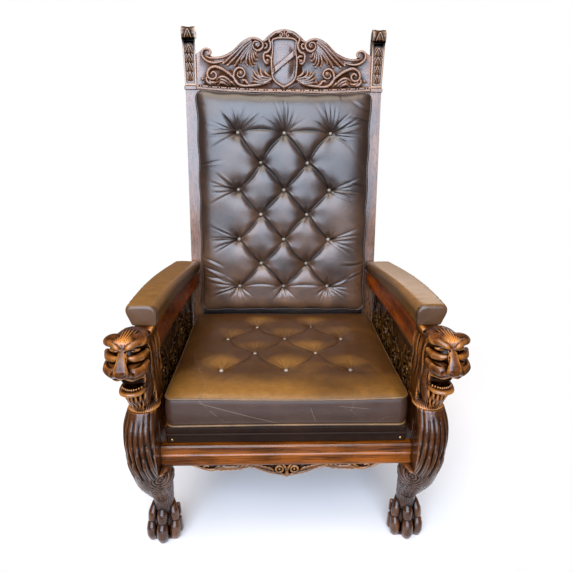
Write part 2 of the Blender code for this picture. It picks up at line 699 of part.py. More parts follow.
def back_post():
    """The right back post: a raked leg below, a straight stile, and a finial that rolls forward."""
    stile_low, foot = -0.230, -BACK_Z - 0.03
    rake = 0.062 + math.tan(LEAN) * BACK_Z
    leg = []
    for k in range(6):
        t = k / 5
        leg.append((rake * t**1.8, stile_low + (foot - stile_low) * t))
    profile = [(0.0, LEDGE_BOTTOM), *leg]
    profile += [(y + POST_DEPTH - 0.004 * k / 5, z) for k, (y, z) in reversed(list(enumerate(leg)))]
    profile.append((POST_DEPTH, LEDGE_BOTTOM))
    stile = moved(extruded(profile, POST_OUT - POST_IN, "YZ"), ((POST_IN + POST_OUT) / 2, 0, 0))
    ledge = block((POST_IN, -0.006, LEDGE_BOTTOM), (POST_OUT + 0.003, POST_DEPTH + 0.003, LEDGE_TOP))
    bm = bmesh.new()
    across = Euler((0, math.pi / 2, 0)).to_matrix().to_4x4()
    finial_x = (FINIAL_IN + FINIAL_OUT) / 2
    roll = Matrix.Translation((finial_x, 0.008, FINIAL_TOP - ROLL_RADIUS)) @ across
    bmesh.ops.create_cone(bm, cap_ends=True, segments=14, radius1=ROLL_RADIUS, radius2=ROLL_RADIUS,
                          depth=FINIAL_OUT - FINIAL_IN, matrix=roll)
    mesh = joined("UNION", stile, bevelled(ledge, 0.002, 1), finial_body(), mesh_of(bm))
    # Husks hang down the finial's face, each smaller than the one above, and a drop hangs on the roll.
    shapes = [(FINIAL_TOP - 0.026, -0.0125, 0.010)]
    for k in range(4):
        shapes.append((0.778 - 0.028 * k, -0.0025 + 0.0008 * k, 0.0105 - 0.0014 * k))
    foot_x = (POST_IN + POST_OUT) / 2 + 0.003
    for z, y, width in shapes:
        bm = bmesh.new()
        x = foot_x + (finial_x - foot_x) * (z - LEDGE_TOP) / (FINIAL_TOP - LEDGE_TOP)
        place = Matrix.Translation((x, y, z)) @ Matrix.Diagonal((width, 0.0065, 0.0150, 1))
        bmesh.ops.create_uvsphere(bm, u_segments=6, v_segments=5, radius=1, matrix=place)
        mesh = joined("UNION", mesh, mesh_of(bm))
    return mesh


def level_foot(mesh):
    """Cuts a leaning post's foot level with the floor."""
    mesh.transform(LEANED)
    mesh = cut_away(mesh, ((-FAR, -FAR, -FAR), (FAR, FAR, 0)))
    mesh.transform(LEANED.inverted())
    return mesh


def crest_outline():
    """Half of the crest's upper edge, from the middle out, as (x, height above the pivot)."""
    arch = [(0.000, 0.8460), (0.030, 0.8425), (0.058, 0.8240), (0.071, 0.8090)]
    shoulder = [(0.084, 0.8130), (0.106, 0.8190), (0.132, 0.8080), (0.172, 0.7800), (0.208, 0.7625)]
    ear = [(0.238, 0.7580), (0.250, 0.7640), (0.255, 0.7780), (0.266, 0.7850), (0.280, 0.7780)]
    edge = spline_points([(x, z, 0) for x, z in arch + shoulder + ear], 2)
    return [(p.x, p.y) for p in edge] + [(CREST_HALF + 0.004, 0.7640)]


def crest_rail():
    """The crest: a shaped board with a shield in the middle and scrolls and leaves on both sides."""
    carving = Carving()
    edge = crest_outline()
    bottom = CREST_BOTTOM
    outline = edge + [(CREST_HALF + 0.004, bottom - 0.004)]
    outline += [(-x, z) for x, z in reversed(outline)][:-1]
    carving.add(moved(extruded(outline, CREST_THICK, "XZ"), (0, CREST_THICK / 2, 0)))

    # The shield's field and the band across it, then its moulded frame with an ear on each side.
    field_thick, band_thick = 0.012, 0.006
    field = [(-SHIELD_HALF, 0.808), (-0.016, 0.822), (0.016, 0.822), (SHIELD_HALF, 0.808),
             (SHIELD_HALF + 0.004, 0.770), (0.036, 0.730),
             (0.033, 0.695), (0.018, 0.676), (0.0, 0.668), (-0.018, 0.676), (-0.033, 0.695), (-0.036, 0.730),
             (-SHIELD_HALF - 0.004, 0.770)]
    carving.add(moved(extruded(field, field_thick, "XZ"), (0, -0.002, 0)))
    band = [(-0.040, 0.712), (0.042, 0.778), (0.042, 0.800), (-0.040, 0.734)]
    carving.add(moved(extruded(band, band_thick, "XZ"), (0, -0.0085, 0)))
    for side in (-1, 1):
        def at(x, z, out=0.002):
            return (side * x, -out, z)

        frame = [(0.000, 0.8260), (0.022, 0.8230), (0.046, 0.8080), (0.048, 0.7880), (0.050, 0.7700),
                 (0.062, 0.7640), (0.060, 0.7450), (0.046, 0.7380), (0.041, 0.7150), (0.039, 0.6920),
                 (0.022, 0.6720), (0.000, 0.6600)]
        carving.strand([at(x, z, 0.005) for x, z in frame], [0.0045])
        carving.ball(at(0.055, 0.7460, 0.004), (0.011, 0.007, 0.011))
        carving.ball(at(0.010, 0.8330, 0.003), (0.009, 0.005, 0.008))
        carving.ball(at(0.066, 0.8000, 0.003), (0.011, 0.007, 0.011))
        # Arch moulding, then the shoulder volute with its long acanthus ribs.
        carving.strand([at(x, z - 0.004) for x, z in edge[:8]], [0.0050])
        curl = volute((0.0930, 0.7910), 0.0220, 0.0060, 60, 1.2)
        carving.strand([at(x, z, 0.004) for x, z in curl], [0.0058, 0.0045, 0.0040])
        carving.ball(at(0.0930, 0.7910, 0.003), (0.0075, 0.0075, 0.0075))
        ribs = (((0.104, 0.813), (0.140, 0.799), (0.182, 0.767), (0.224, 0.747), (0.250, 0.746)),
                ((0.108, 0.806), (0.140, 0.784), (0.172, 0.752), (0.214, 0.724)),
                ((0.112, 0.798), (0.136, 0.772), (0.158, 0.744), (0.190, 0.716)),
                ((0.114, 0.788), (0.128, 0.764), (0.138, 0.742), (0.154, 0.718)),
                ((0.114, 0.778), (0.120, 0.758), (0.122, 0.742), (0.118, 0.722)),
                ((0.108, 0.770), (0.110, 0.756), (0.108, 0.744), (0.100, 0.734)))
        for rib in ribs:
            carving.strand([at(x, z, 0.003) for x, z in rib], [0.0055, 0.0070, 0.0070, 0.0035])
        # The ear's curl.
        curl = volute((0.2620, 0.7640), 0.0165, 0.0050, 225, 0.95)
        carving.strand([at(x, z, 0.003) for x, z in curl], [0.0050, 0.0045, 0.0035])
        # The lower scrolls: a stem from the shield to a balled curl, then a leafy one beside the post.
        stem = [(0.036, 0.668), (0.080, 0.658), (0.125, 0.662)]
        curl = volute((0.1500, 0.6960), 0.0260, 0.0100, -95, 1.05)
        carving.strand([at(x, z, 0.003) for x, z in stem + curl[1:]], [0.0040, 0.0060, 0.0055, 0.0040])
        carving.ball(at(0.1480, 0.6950, 0.004), (0.0105, 0.0090, 0.0105))
        stem = [(0.150, 0.660), (0.178, 0.684), (0.206, 0.708)]
        curl = volute((0.2400, 0.6880), 0.0290, 0.0090, 105, -1.1)
        carving.strand([at(x, z, 0.003) for x, z in stem + curl[1:]], [0.0040, 0.0060, 0.0060, 0.0045])
        for k in range(4):
            x = 0.052 + 0.019 * k
            tip = (x + 0.022, 0.694 + 0.003 * k)
            carving.strand([at(x, 0.664), at(x + 0.014, 0.676), at(*tip)], [0.0050, 0.0055, 0.0015])
        for k in range(3):
            x = 0.182 + 0.016 * k
            leaf = [at(x, 0.662), at(x + 0.016, 0.674), at(x + 0.030, 0.668)]
            carving.strand(leaf, [0.0045, 0.0060, 0.0020])
    low_bead = [(-CREST_HALF, -0.003, 0.6600), (0, -0.003, 0.6510), (CREST_HALF, -0.003, 0.6600)]
    carving.strand(low_bead, [0.0055])
    mesh = carving.fused(voxel=0.0022, triangles=1560, smoothing=1)
    return cut_away(
        mesh,
        ((-FAR, -FAR, -FAR), (-CREST_HALF, FAR, FAR)),
        ((CREST_HALF, -FAR, -FAR), (FAR, FAR, FAR)),
        ((-FAR, -FAR, -FAR), (FAR, FAR, bottom)),
        ((-FAR, CREST_THICK - 0.001, -FAR), (FAR, FAR, FAR)),
    )


def back_panel():
    """A board behind the cushion, with a raised field on its rear face."""
    half, low, high = POST_IN - GAP, PANEL_LOW, CREST_BOTTOM - GAP
    board = block((-half, 0.004, low), (half, 0.020, high))
    margin = 0.060
    bm = bmesh.new()
    slab = Matrix.Diagonal((2 * (half - margin), 0.014, high - low - 2 * margin, 1))
    bmesh.ops.create_cube(bm, size=1.0, matrix=Matrix.Translation((0, 0.021, (low + high) / 2)) @ slab)
    field = bevelled(mesh_of(bm), 0.006, 1)
    return joined("UNION", board, field)


def lower_back_rail():
    """The rail across the foot of the back panel."""
    half = POST_IN - GAP
    return bevelled(block((-half, 0.004, PANEL_LOW - 0.082), (half, 0.036, PANEL_LOW - GAP)), 0.003, 1)


def back_cushion():
    half = BACK_CUSHION_HALF
    mesh = crowned(half, BACK_CUSHION_TOP - BACK_CUSHION_LOW, 0.0, BACK_CUSHION_THICK - 0.010, 0.010, 0.005)
    # Laid flat as modelled, then stood up with its crown to the front.
    stand = Euler((math.pi / 2, 0, 0)).to_matrix().to_4x4()
    mesh.transform(Matrix.Translation((0, 0, BACK_CUSHION_LOW)) @ stand)
    return mesh


# --- The whole throne -----------------------------------------------------------------------------


def pair(name, mesh, finish, parent=None, smooth=None):
    node(name + "_right", mesh, *finish, parent=parent, smooth=smooth)
    node(name + "_left", mirrored(mesh), *finish, parent=parent, smooth=smooth)


def button_rows(rows, wide, narrow):
    """(name, x, place) of buttons in rows of three and two by turns."""
    for number, place in enumerate(rows, 1):
        if number % 2:
            columns = (("left", -wide), ("middle", 0.0), ("right", wide))
        else:
            columns = (("left", -narrow), ("right", narrow))
        for word, x in columns:
            yield f"{number}_{word}", x, place


def build():
    pair("front_leg", front_leg(), OAK, smooth=40)
    pair("lion_head", lion_head(), OAK, smooth=40)
    pair("arm_rail", arm_rail(), OAK)
    pair("arm_pad", arm_pad(), LEATHER, smooth=50)
    pair("side_rail", side_rail(), OAK)
    pair("side_panel", side_panel(), DARK_OAK, smooth=40)
    node("front_rail", front_rail(), *OAK)
    node("front_apron", front_apron(), *OAK, smooth=40)
    node("seat_deck", seat_deck(), *LEATHER)
    node("seat_cushion", seat_cushion(), *LEATHER, smooth=50)
    pair("back_post", level_foot(back_post()), OAK, parent=BACK, smooth=30)
    node("crest_rail", crest_rail(), *OAK, parent=BACK, smooth=40)
    node("back_panel", back_panel(), *DARK_OAK, parent=BACK)
    node("lower_back_rail", lower_back_rail(), *DARK_OAK, parent=BACK)
    node("back_cushion", back_cushion(), *LEATHER, parent=BACK, smooth=50)
    for name, x, y in button_rows(SEAT_ROWS, 0.183, 0.092):
        place_button("seat_button_" + name, (x, FRONT + y, SEAT_TOP + GAP), True, ROOT)
    for name, x, z in button_rows(BACK_ROWS, 0.157, 0.080):
        place = (x, -BACK_CUSHION_THICK - GAP, BACK_ROW_LOW + z)
        place_button("back_button_" + name, place, False, BACK)


def stand_over_origin():
    """Moves the throne along Y so that the origin lies under the middle of its box."""
    bpy.context.view_layer.update()
    ends = []
    for obj in THRONE.objects:
        if obj.type == "MESH":
            ends += [(obj.matrix_world @ vert.co).y for vert in obj.data.vertices]
    ROOT.location.y -= (min(ends) + max(ends)) / 2


build()
stand_over_origin()
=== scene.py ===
"""The carved throne as it looks: finely carved oak, buttoned leather, a plain floor and soft light.

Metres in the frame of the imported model. Every piece rides on the one body, "root".
"""
import itertools
import math

import bmesh
import bpy
import numpy as np
import openvdb
from mathutils import Euler, Matrix, Vector


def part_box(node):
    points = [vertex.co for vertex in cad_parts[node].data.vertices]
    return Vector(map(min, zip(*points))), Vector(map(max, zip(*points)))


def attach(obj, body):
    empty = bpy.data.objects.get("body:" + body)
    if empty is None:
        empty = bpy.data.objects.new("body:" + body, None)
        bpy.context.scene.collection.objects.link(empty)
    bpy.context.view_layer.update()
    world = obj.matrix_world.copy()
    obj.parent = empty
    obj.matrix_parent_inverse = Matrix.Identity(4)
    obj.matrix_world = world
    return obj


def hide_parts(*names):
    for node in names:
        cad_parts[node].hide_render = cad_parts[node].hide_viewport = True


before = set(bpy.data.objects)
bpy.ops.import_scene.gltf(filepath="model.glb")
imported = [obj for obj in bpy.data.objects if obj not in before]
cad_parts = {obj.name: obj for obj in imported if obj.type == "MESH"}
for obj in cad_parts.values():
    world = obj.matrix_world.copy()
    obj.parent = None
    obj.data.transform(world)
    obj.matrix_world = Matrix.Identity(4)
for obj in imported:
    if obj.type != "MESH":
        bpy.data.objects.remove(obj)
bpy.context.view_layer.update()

# Places that the whole chair is measured from.
GAP = 0.0003
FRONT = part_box("front_rail")[0].y + 0.014  # the seat cushion's front face
LEAN = math.radians(6.0)
BACK_Y, BACK_Z = FRONT + 0.636, 0.600  # the pivot that the back leans about
LEANED = Matrix.Translation((0, BACK_Y, BACK_Z)) @ Euler((-LEAN, 0, 0)).to_matrix().to_4x4()

# --- Materials ------------------------------------------------------------------------------------


class Shading:
    """A material's node tree, with short ways to add and link nodes."""

    def __init__(self, name):
        self.material = bpy.data.materials.new(name)
        self.material.use_nodes = True
        self.nodes = self.material.node_tree.nodes
        self.links = self.material.node_tree.links
        self.shader = self.nodes["Principled BSDF"]

    def add(self, kind, links=None, **values):
        made = self.nodes.new("ShaderNode" + kind)
        for key, value in values.items():
            if hasattr(made, key):
                setattr(made, key, value)
            else:
                made.inputs[key.replace("_", " ")].default_value = value
        for key, source in (links or {}).items():
            self.links.new(source, made.inputs[key])
        return made

    def give(self, socket, value):
        """Sets a socket to a number or a colour, or links another node's output to it."""
        if isinstance(value, bpy.types.NodeSocket):
            self.links.new(value, socket)
        elif isinstance(value, tuple):
            socket.default_value = (*value, 1)
        else:
            socket.default_value = value

    def coords(self, scale=(1, 1, 1)):
        places = self.add("TexCoord").outputs["Object"]
        return self.add("Mapping", {"Vector": places}, Scale=scale).outputs["Vector"]

    def noise(self, where, scale, detail=4, roughness=0.55, distortion=0.0):
        made = self.add("TexNoise", {"Vector": where}, Scale=scale, Detail=detail, Roughness=roughness,
                        Distortion=distortion)
        return made.outputs["Fac"]

    def noise_warped(self, where):
        """The places moved about a little, so that straight edges bend slightly."""
        sway = self.add("TexNoise", {"Vector": where}, Scale=5.0, Detail=1.0).outputs["Color"]
        return self.mix(0.06, where, sway)

    def ramp(self, value, *stops):
        made = self.add("ValToRGB", {"Fac": value})
        band = made.color_ramp
        while len(band.elements) < len(stops):
            band.elements.new(0.5)
        for element, (place, colour) in zip(band.elements, stops):
            element.position = place
            element.color = (*colour, 1) if isinstance(colour, tuple) else (colour, colour, colour, 1)
        return made.outputs["Color"]

    def mix(self, share, first, second, how="MIX"):
        made = self.nodes.new("ShaderNodeMix")
        made.data_type = "RGBA"
        made.blend_type = how
        self.give(made.inputs["Factor"], share)
        self.give(made.inputs[6], first)
        self.give(made.inputs[7], second)
        return made.outputs[2]

    def math(self, how, first, second=0.0):
        made = self.nodes.new("ShaderNodeMath")
        made.operation = how
        self.give(made.inputs[0], first)
        self.give(made.inputs[1], second)
        return made.outputs[0]

    def bump(self, height, strength, distance, below=None):
        links = {"Height": height}
        if below:
            links["Normal"] = below
        return self.add("Bump", links, Strength=strength, Distance=distance).outputs["Normal"]

    def finish(self, **inputs):
        for key, value in inputs.items():
            self.give(self.shader.inputs[key.replace("_", " ")], value)
        return self.material


def oak(name, along, pale, deep, dull=0.0, varnish=0.5, ridge=None, flat_shine=1.0, recess=0.006):
    """Waxed oak with its grain along an axis (0, 1 or 2).

    Carved oak has a colour for its ridges, partly from rubbing and partly painted highlight. Its recesses
    are
    painted dark as painted shade: they are dull and keep only that share of the colour, and flat_shine says
    how much of the varnish's shine is left on its flat places.
    """
    made = Shading(name)
    scale = [34.0, 34.0, 34.0]
    scale[along] = 2.4
    grain = made.noise(made.coords(scale), 1.0, 5, 0.62, 0.6)
    fine_scale = [420.0, 420.0, 420.0]
    fine_scale[along] = 14.0
    pores = made.noise(made.coords(fine_scale), 1.0, 2, 0.5)
    patches = made.noise(made.coords(), 9.0, 3, 0.5)
    between = tuple(0.5 * (a + b) for a, b in zip(pale, deep))
    colour = made.ramp(grain, (0.30, deep), (0.50, between), (0.68, pale))
    dark_pores = made.ramp(pores, (0.36, 0.18), (0.50, 1.0))
    colour = made.mix(0.8, colour, dark_pores, "MULTIPLY")
    shade = made.ramp(patches, (0.30, 0.50), (0.70, 1.20))
    colour = made.mix(0.8, colour, shade, "MULTIPLY")
    gloss = made.ramp(patches, (0.3, 0.22 + dull), (0.7, 0.36 + dull))
    normal = made.bump(pores, 0.22, 0.0006)
    shine, wax = 0.5, varnish
    if ridge:
        relief = made.add("Attribute", attribute_name="relief").outputs["Fac"]
        # painted shade: the recesses keep only the recess share of the colour
        hollow = made.ramp(relief, (0.32, recess), (0.45, 0.16 + 0.6 * recess), (0.54, 1.0))
        colour = made.mix(1.0, colour, hollow, "MULTIPLY")
        # ridges turn towards the ridge colour: partly rubbed pale, partly painted highlight
        colour = made.mix(made.ramp(relief, (0.57, 0.0), (0.76, 0.9)), colour, ridge)
        left = made.ramp(relief, (0.34, 0.0), (0.50, flat_shine), (0.64, 1.0))
        shine, wax = made.math("MULTIPLY", left, 0.5), made.math("MULTIPLY", left, varnish)
    return made.finish(Base_Color=colour, Roughness=gloss, Normal=normal, Specular_IOR_Level=shine,
                       Coat_Weight=wax, Coat_Roughness=0.16)


def near_line(made, places, start, end, width):
    """1 on a straight scratch between two places (x, z), falling to 0 beside it and past its ends."""
    x, _, z = made.add("SeparateXYZ", {"Vector": places}).outputs
    length = math.dist(start, end)
    ahead = ((end[0] - start[0]) / length, (end[1] - start[1]) / length)
    dx = made.math("SUBTRACT", x, start[0])
    dz = made.math("SUBTRACT", z, start[1])
    along = made.math("ADD", made.math("MULTIPLY", dx, ahead[0]), made.math("MULTIPLY", dz, ahead[1]))
    side = made.math("SUBTRACT", made.math("MULTIPLY", dx, ahead[1]), made.math("MULTIPLY", dz, ahead[0]))
    away = made.math("MULTIPLY", made.math("ABSOLUTE", side), 1 / (2 * width))
    thin = made.ramp(away, (0.0, 1.0), (0.5, 0.0))
    ends = made.ramp(made.math("DIVIDE", along, length), (0.0, 0.0), (0.1, 1.0), (0.9, 1.0), (1.0, 0.0))
    return made.math("MULTIPLY", thin, ends)


def leather(name, deep, pale, gloss=0.36, band=None, wear_and_light=False, scratched=0.0, polish=0.12,
            soft=0.28, shine=0.5):
    """Smooth hide: mottled, with a fine grain; it can have painted shade in its folds, be made paler where
    it is rubbed and where light is painted on it, and be scratched.
    """
    made = Shading(name)
    places = made.coords()
    mottle = made.noise(places, 8.0, 5, 0.6, 0.4)
    cloud = made.noise(places, 38.0, 3, 0.55)
    streaks = made.noise(made.coords((1.0, 2.2, 1.0)), 60.0, 4, 0.65, 0.8)
    if wear_and_light:
        # paler where the leather is rubbed and where light is painted on it
        paleness = made.add("Attribute", attribute_name="wear_and_light").outputs["Fac"]
        uneven = made.math("ADD", paleness, made.math("MULTIPLY", made.math("SUBTRACT", mottle, 0.5), 0.9))
        colour = made.ramp(uneven, (0.10, deep), (0.75, pale))
    else:
        colour = made.ramp(mottle, (0.32, deep), (0.70, pale))
    colour = made.mix(0.5, colour, made.ramp(cloud, (0.3, 0.72), (0.7, 1.25)), "MULTIPLY")
    colour = made.mix(0.35, colour, made.ramp(streaks, (0.35, 0.70), (0.65, 1.20)), "MULTIPLY")
    if band:
        on_band = made.add("Attribute", attribute_name="band").outputs["Fac"]
        side = made.mix(0.6, band, made.ramp(mottle, (0.35, 0.65), (0.65, 1.35)), "MULTIPLY")
        colour = made.mix(on_band, colour, side)
    if band or wear_and_light:
        # painted shade: the leather is darkened in its folds and creases
        relief = made.add("Attribute", attribute_name="relief").outputs["Fac"]
        folded = made.ramp(relief, (0.26, 0.05), (0.44, 0.62), (0.53, 1.0))
        colour = made.mix(1.0, colour, folded, "MULTIPLY")
    if scratched:
        cells = made.add("TexVoronoi", {"Vector": made.noise_warped(places)}, Scale=8.5,
                         feature="DISTANCE_TO_EDGE")
        thin = made.ramp(cells.outputs["Distance"], (0.0, 1.0), (0.010, 0.0))
        here = made.ramp(made.noise(places, 6.0, 2), (0.54, 0.0), (0.64, 1.0))
        broken = made.ramp(made.noise(places, 150.0, 2), (0.42, 0.0), (0.58, 1.0))
        marks = made.math("MULTIPLY", made.math("MULTIPLY", thin, here), broken)
        for start, end, width in BAND_SCRATCHES:
            marks = made.math("MAXIMUM", marks, near_line(made, places, start, end, width))
        colour = made.mix(made.math("MULTIPLY", marks, scratched), colour, (0.46, 0.33, 0.22))
    grain = made.add("TexVoronoi", {"Vector": places}, Scale=640.0).outputs["Distance"]
    creases = made.noise(made.coords((1.0, 1.6, 1.3)), 46.0, 6, 0.62, 1.2)
    normal = made.bump(grain, 0.10, 0.0004)
    normal = made.bump(creases, 0.18, 0.0018, below=normal)
    rough = made.ramp(mottle, (0.3, gloss - 0.05), (0.7, gloss + 0.08))
    return made.finish(Base_Color=colour, Roughness=rough, Normal=normal, Specular_IOR_Level=shine,
                       Coat_Weight=polish, Coat_Roughness=soft)


def brass():
    made = Shading("brass")
    dull = made.noise(made.coords(), 220.0, 3)
    colour = made.ramp(dull, (0.3, (0.30, 0.17, 0.05)), (0.7, (0.75, 0.50, 0.18)))
    return made.finish(Base_Color=colour, Metallic=1.0, Roughness=0.32)


# The longest scratches on the seat cushion's front band, as two places (x, z) and a width.
BAND_SCRATCHES = (((-0.235, 0.458), (-0.020, 0.392), 0.0011), ((0.060, 0.440), (0.075, 0.396), 0.0008),
                  ((0.130, 0.444), (0.215, 0.436), 0.0007))

# Carved oaks: painted shade darkens their recesses, and their ridge colour is partly rubbed pale and partly
# painted highlight.
CARVED_OAK = oak("carved_oak", 2, (0.26, 0.072, 0.010), (0.050, 0.012, 0.002), varnish=0.5,
                 ridge=(0.74, 0.27, 0.045), flat_shine=0.35)
LEG_OAK = oak("leg_oak", 2, (0.14, 0.041, 0.008), (0.032, 0.008, 0.002), varnish=0.9,
              ridge=(0.40, 0.132, 0.026), flat_shine=0.35)
CREST_OAK = oak("crest_oak", 0, (0.26, 0.100, 0.042), (0.090, 0.032, 0.014), varnish=1.0,
                ridge=(0.46, 0.22, 0.12), recess=0.45)
RAIL_OAK = oak("rail_oak", 0, (0.43, 0.112, 0.006), (0.075, 0.016, 0.002), varnish=0.12)
ARM_OAK = oak("arm_oak", 1, (0.60, 0.110, 0.005), (0.16, 0.024, 0.002), varnish=0.08)
POST_OAK = oak("post_oak", 2, (0.34, 0.140, 0.055), (0.095, 0.034, 0.014), varnish=1.0)
FINIAL_OAK = oak("finial_oak", 2, (0.15, 0.066, 0.034), (0.050, 0.018, 0.008), varnish=0.9,
                 ridge=(0.52, 0.27, 0.12), flat_shine=0.25, recess=0.01)
DARK_OAK = oak("dark_oak", 2, (0.060, 0.020, 0.006), (0.016, 0.006, 0.003), dull=0.12)
APRON_OAK = oak("apron_oak", 0, (0.24, 0.075, 0.011), (0.050, 0.012, 0.002), varnish=0.4,
                ridge=(0.60, 0.26, 0.055), flat_shine=0.4)
PANEL_OAK = oak("panel_oak", 1, (0.13, 0.048, 0.009), (0.028, 0.008, 0.002), varnish=0.3,
                ridge=(0.52, 0.26, 0.060), flat_shine=0.3)
BACK_LEATHER = leather("back_leather", (0.030, 0.011, 0.004), (0.190, 0.090, 0.042), gloss=0.32, wear_and_light=True,
                       band=(0.030, 0.012, 0.006), polish=1.0, soft=0.40)
SEAT_LEATHER = leather("seat_leather", (0.085, 0.030, 0.004), (0.27, 0.115, 0.019), gloss=0.40, wear_and_light=True,
                       band=(0.065, 0.028, 0.015), scratched=0.45)
ARM_LEATHER = leather("arm_leather", (0.090, 0.034, 0.005), (0.28, 0.120, 0.018), gloss=0.34, wear_and_light=True,
                      band=(0.095, 0.043, 0.018), polish=0.25)
# The deck is painted near black, as painted shade under the seat cushion.
DECK_PAINTED_SHADE = leather("deck_painted_shade", (0.012, 0.004, 0.002), (0.026, 0.010, 0.004), gloss=0.55, polish=0.0,
                       shine=0.15)
BUTTON_LEATHER = leather("button_leather", (0.22, 0.16, 0.11), (0.46, 0.38, 0.30), gloss=0.34)
PIPING_LEATHER = leather("piping_leather", (0.030, 0.014, 0.007), (0.070, 0.034, 0.016), gloss=0.34)
SEAT_PIPING = leather("seat_piping", (0.11, 0.050, 0.016), (0.24, 0.125, 0.045), gloss=0.38)
BRASS = brass()

# --- Pieces ---------------------------------------------------------------------------------------

HEAD_TRIANGLES, LEG_TRIANGLES, CREST_TRIANGLES = 110000, 90000, 160000


def show(name, mesh, look, slot, *stands_for):
    """Puts a mesh into the scene as a piece that rides on the chair and stands for the named solids."""
    obj = bpy.data.objects.new(name, mesh)
    bpy.context.scene.collection.objects.link(obj)
    mesh.name = name
    mesh.materials.clear()
    mesh.materials.append(look)
    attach(obj, "root")
    if stands_for:
        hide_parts(*stands_for)
    return obj


def mirrored(mesh):
    """A copy of the mesh for the other side of the chair."""
    copy = mesh.copy()
    copy.transform(Matrix.Scale(-1, 4, (1, 0, 0)))
    copy.flip_normals()
    return copy


def both_sides(name, mesh, look, slot, replace=True, ending="_carved"):
    """The right piece and its mirror image on the left."""
    pieces = []
    for side, shape in (("right", mesh), ("left", mirrored(mesh))):
        piece = f"{name}_{side}"
        pieces.append(show(piece + ending, shape, look, slot, *([piece] if replace else [])))
    return pieces


def raw_mesh(points, faces):
    """A mesh from an array of points and lists of corner numbers."""
    mesh = bpy.data.meshes.new("shape")
    mesh.from_pydata([tuple(p) for p in points], [], faces)
    mesh.update()
    return mesh


def thinned(mesh, triangles):
    """The mesh with about that many triangles left, where its shape needs them most."""
    have = sum(len(face.vertices) - 2 for face in mesh.polygons)
    if have <= triangles:
        return mesh
    obj = bpy.data.objects.new("scratch", mesh)
    bpy.context.scene.collection.objects.link(obj)
    facets = obj.modifiers.new("facets", "DECIMATE")
    facets.ratio = triangles / have
    bpy.context.view_layer.update()
    graph = bpy.context.evaluated_depsgraph_get()
    made = bpy.data.meshes.new_from_object(obj.evaluated_get(graph))
    bpy.data.objects.remove(obj)
    bpy.data.meshes.remove(mesh)
    made.shade_smooth()
    return made


def places_of(mesh):
    flat = np.empty(len(mesh.vertices) * 3, np.float32)
    mesh.vertices.foreach_get("co", flat)
    return flat.reshape(-1, 3)


def mark(mesh, name, values):
    """Stores a number on every point of the mesh, for its material to read."""
    layer = mesh.attributes.new(name, "FLOAT", "POINT")
    layer.data.foreach_set("value", np.ascontiguousarray(values, np.float32))


def tube(points, radius, closed=True, sides=8, turn=(0, 0, 1)):
    """A round cord through the points, as a mesh. turn is a direction that the cord never runs along."""
    points = np.array(points, float)
    ahead = np.roll(points, -1, 0) - np.roll(points, 1, 0)
    if not closed:
        ahead[0] = points[1] - points[0]
        ahead[-1] = points[-1] - points[-2]
    ahead /= np.linalg.norm(ahead, axis=1)[:, None]
    side = np.cross(ahead, turn)
    side /= np.linalg.norm(side, axis=1)[:, None]
    up = np.cross(side, ahead)
    angles = np.linspace(0, 2 * math.pi, sides, endpoint=False)
    rings = [points + radius * (math.cos(a) * side + math.sin(a) * up) for a in angles]
    count = len(points)
    corners = np.stack(rings, 1).reshape(-1, 3)
    faces = []
    for i in range(count if closed else count - 1):
        j = (i + 1) % count
        for k in range(sides):
            m = (k + 1) % sides
            faces.append((i * sides + k, j * sides + k, j * sides + m, i * sides + m))
    if not closed:
        faces.append(tuple(range(sides)))
        faces.append(tuple(reversed(range((count - 1) * sides, count * sides))))
    mesh = raw_mesh(corners, faces)
    mesh.shade_smooth()
    return mesh


def merged(meshes):
    """One mesh that holds all of them."""
    bm = bmesh.new()
    for mesh in meshes:
        bm.from_mesh(mesh)
        bpy.data.meshes.remove(mesh)
    made = bpy.data.meshes.new("merged")
    bm.to_mesh(made)
    bm.free()
    made.shade_smooth()
    return made


def largest_body(mesh):
    """Keeps the mesh's largest connected part and drops the crumbs."""
    count = len(mesh.vertices)
    ends = np.empty(len(mesh.edges) * 2, np.int32)
    mesh.edges.foreach_get("vertices", ends)
    ends = ends.reshape(-1, 2)
    label = np.arange(count)
    while True:
        low = np.minimum(label[ends[:, 0]], label[ends[:, 1]])
        new = label.copy()
        np.minimum.at(new, ends[:, 0], low)
        np.minimum.at(new, ends[:, 1], low)
        new = new[new]
        if (new == label).all():
            break
        label = new
    names, sizes = np.unique(label, return_counts=True)
    if len(names) == 1:
        return mesh
    keep = names[np.argmax(sizes)]
    bm = bmesh.new()
    bm.from_mesh(mesh)
    crumbs = [vert for vert, name in zip(bm.verts, label) if name != keep]
    bmesh.ops.delete(bm, geom=crumbs, context="VERTS")
    bm.to_mesh(mesh)
    bm.free()
    return mesh


def blended(values, at):
    """Values of a grid at places counted in cells, blended from the cells around each place."""
    base = np.clip(np.floor(at).astype(int), 0, np.array(values.shape) - 2)
    share = np.clip(at - base, 0, 1)
    total = np.zeros(len(at))
    for corner in itertools.product((0, 1), repeat=values.ndim):
        weight = np.prod(np.where(corner, share, 1 - share), axis=1)
        total += weight * values[tuple((base + corner).T)]
    return total


def blurred(values, steps):
    """The grid averaged over a box of cells that reaches so many steps to each side."""
    for axis in range(values.ndim):
        pad = [(0, 0)] * values.ndim
        pad[axis] = (steps + 1, steps)
        sums = np.cumsum(np.pad(values, pad, mode="edge"), axis=axis, dtype=np.float64)
        count = values.shape[axis]
        high = np.take(sums, range(2 * steps + 1, 2 * steps + 1 + count), axis=axis)
        low = np.take(sums, range(count), axis=axis)
        values = ((high - low) / (2 * steps + 1)).astype(np.float32)
    return values

# --- Clay: shapes blended on a grid of distances ---------------------------------------------------


def smooth_min(a, b, blend):
    """The lower of two distances, rounded over where they are about the same."""
    if blend <= 0:
        return np.minimum(a, b)
    share = np.clip(0.5 + 0.5 * (b - a) / blend, 0, 1)
    return b + (a - b) * share - blend * share * (1 - share)


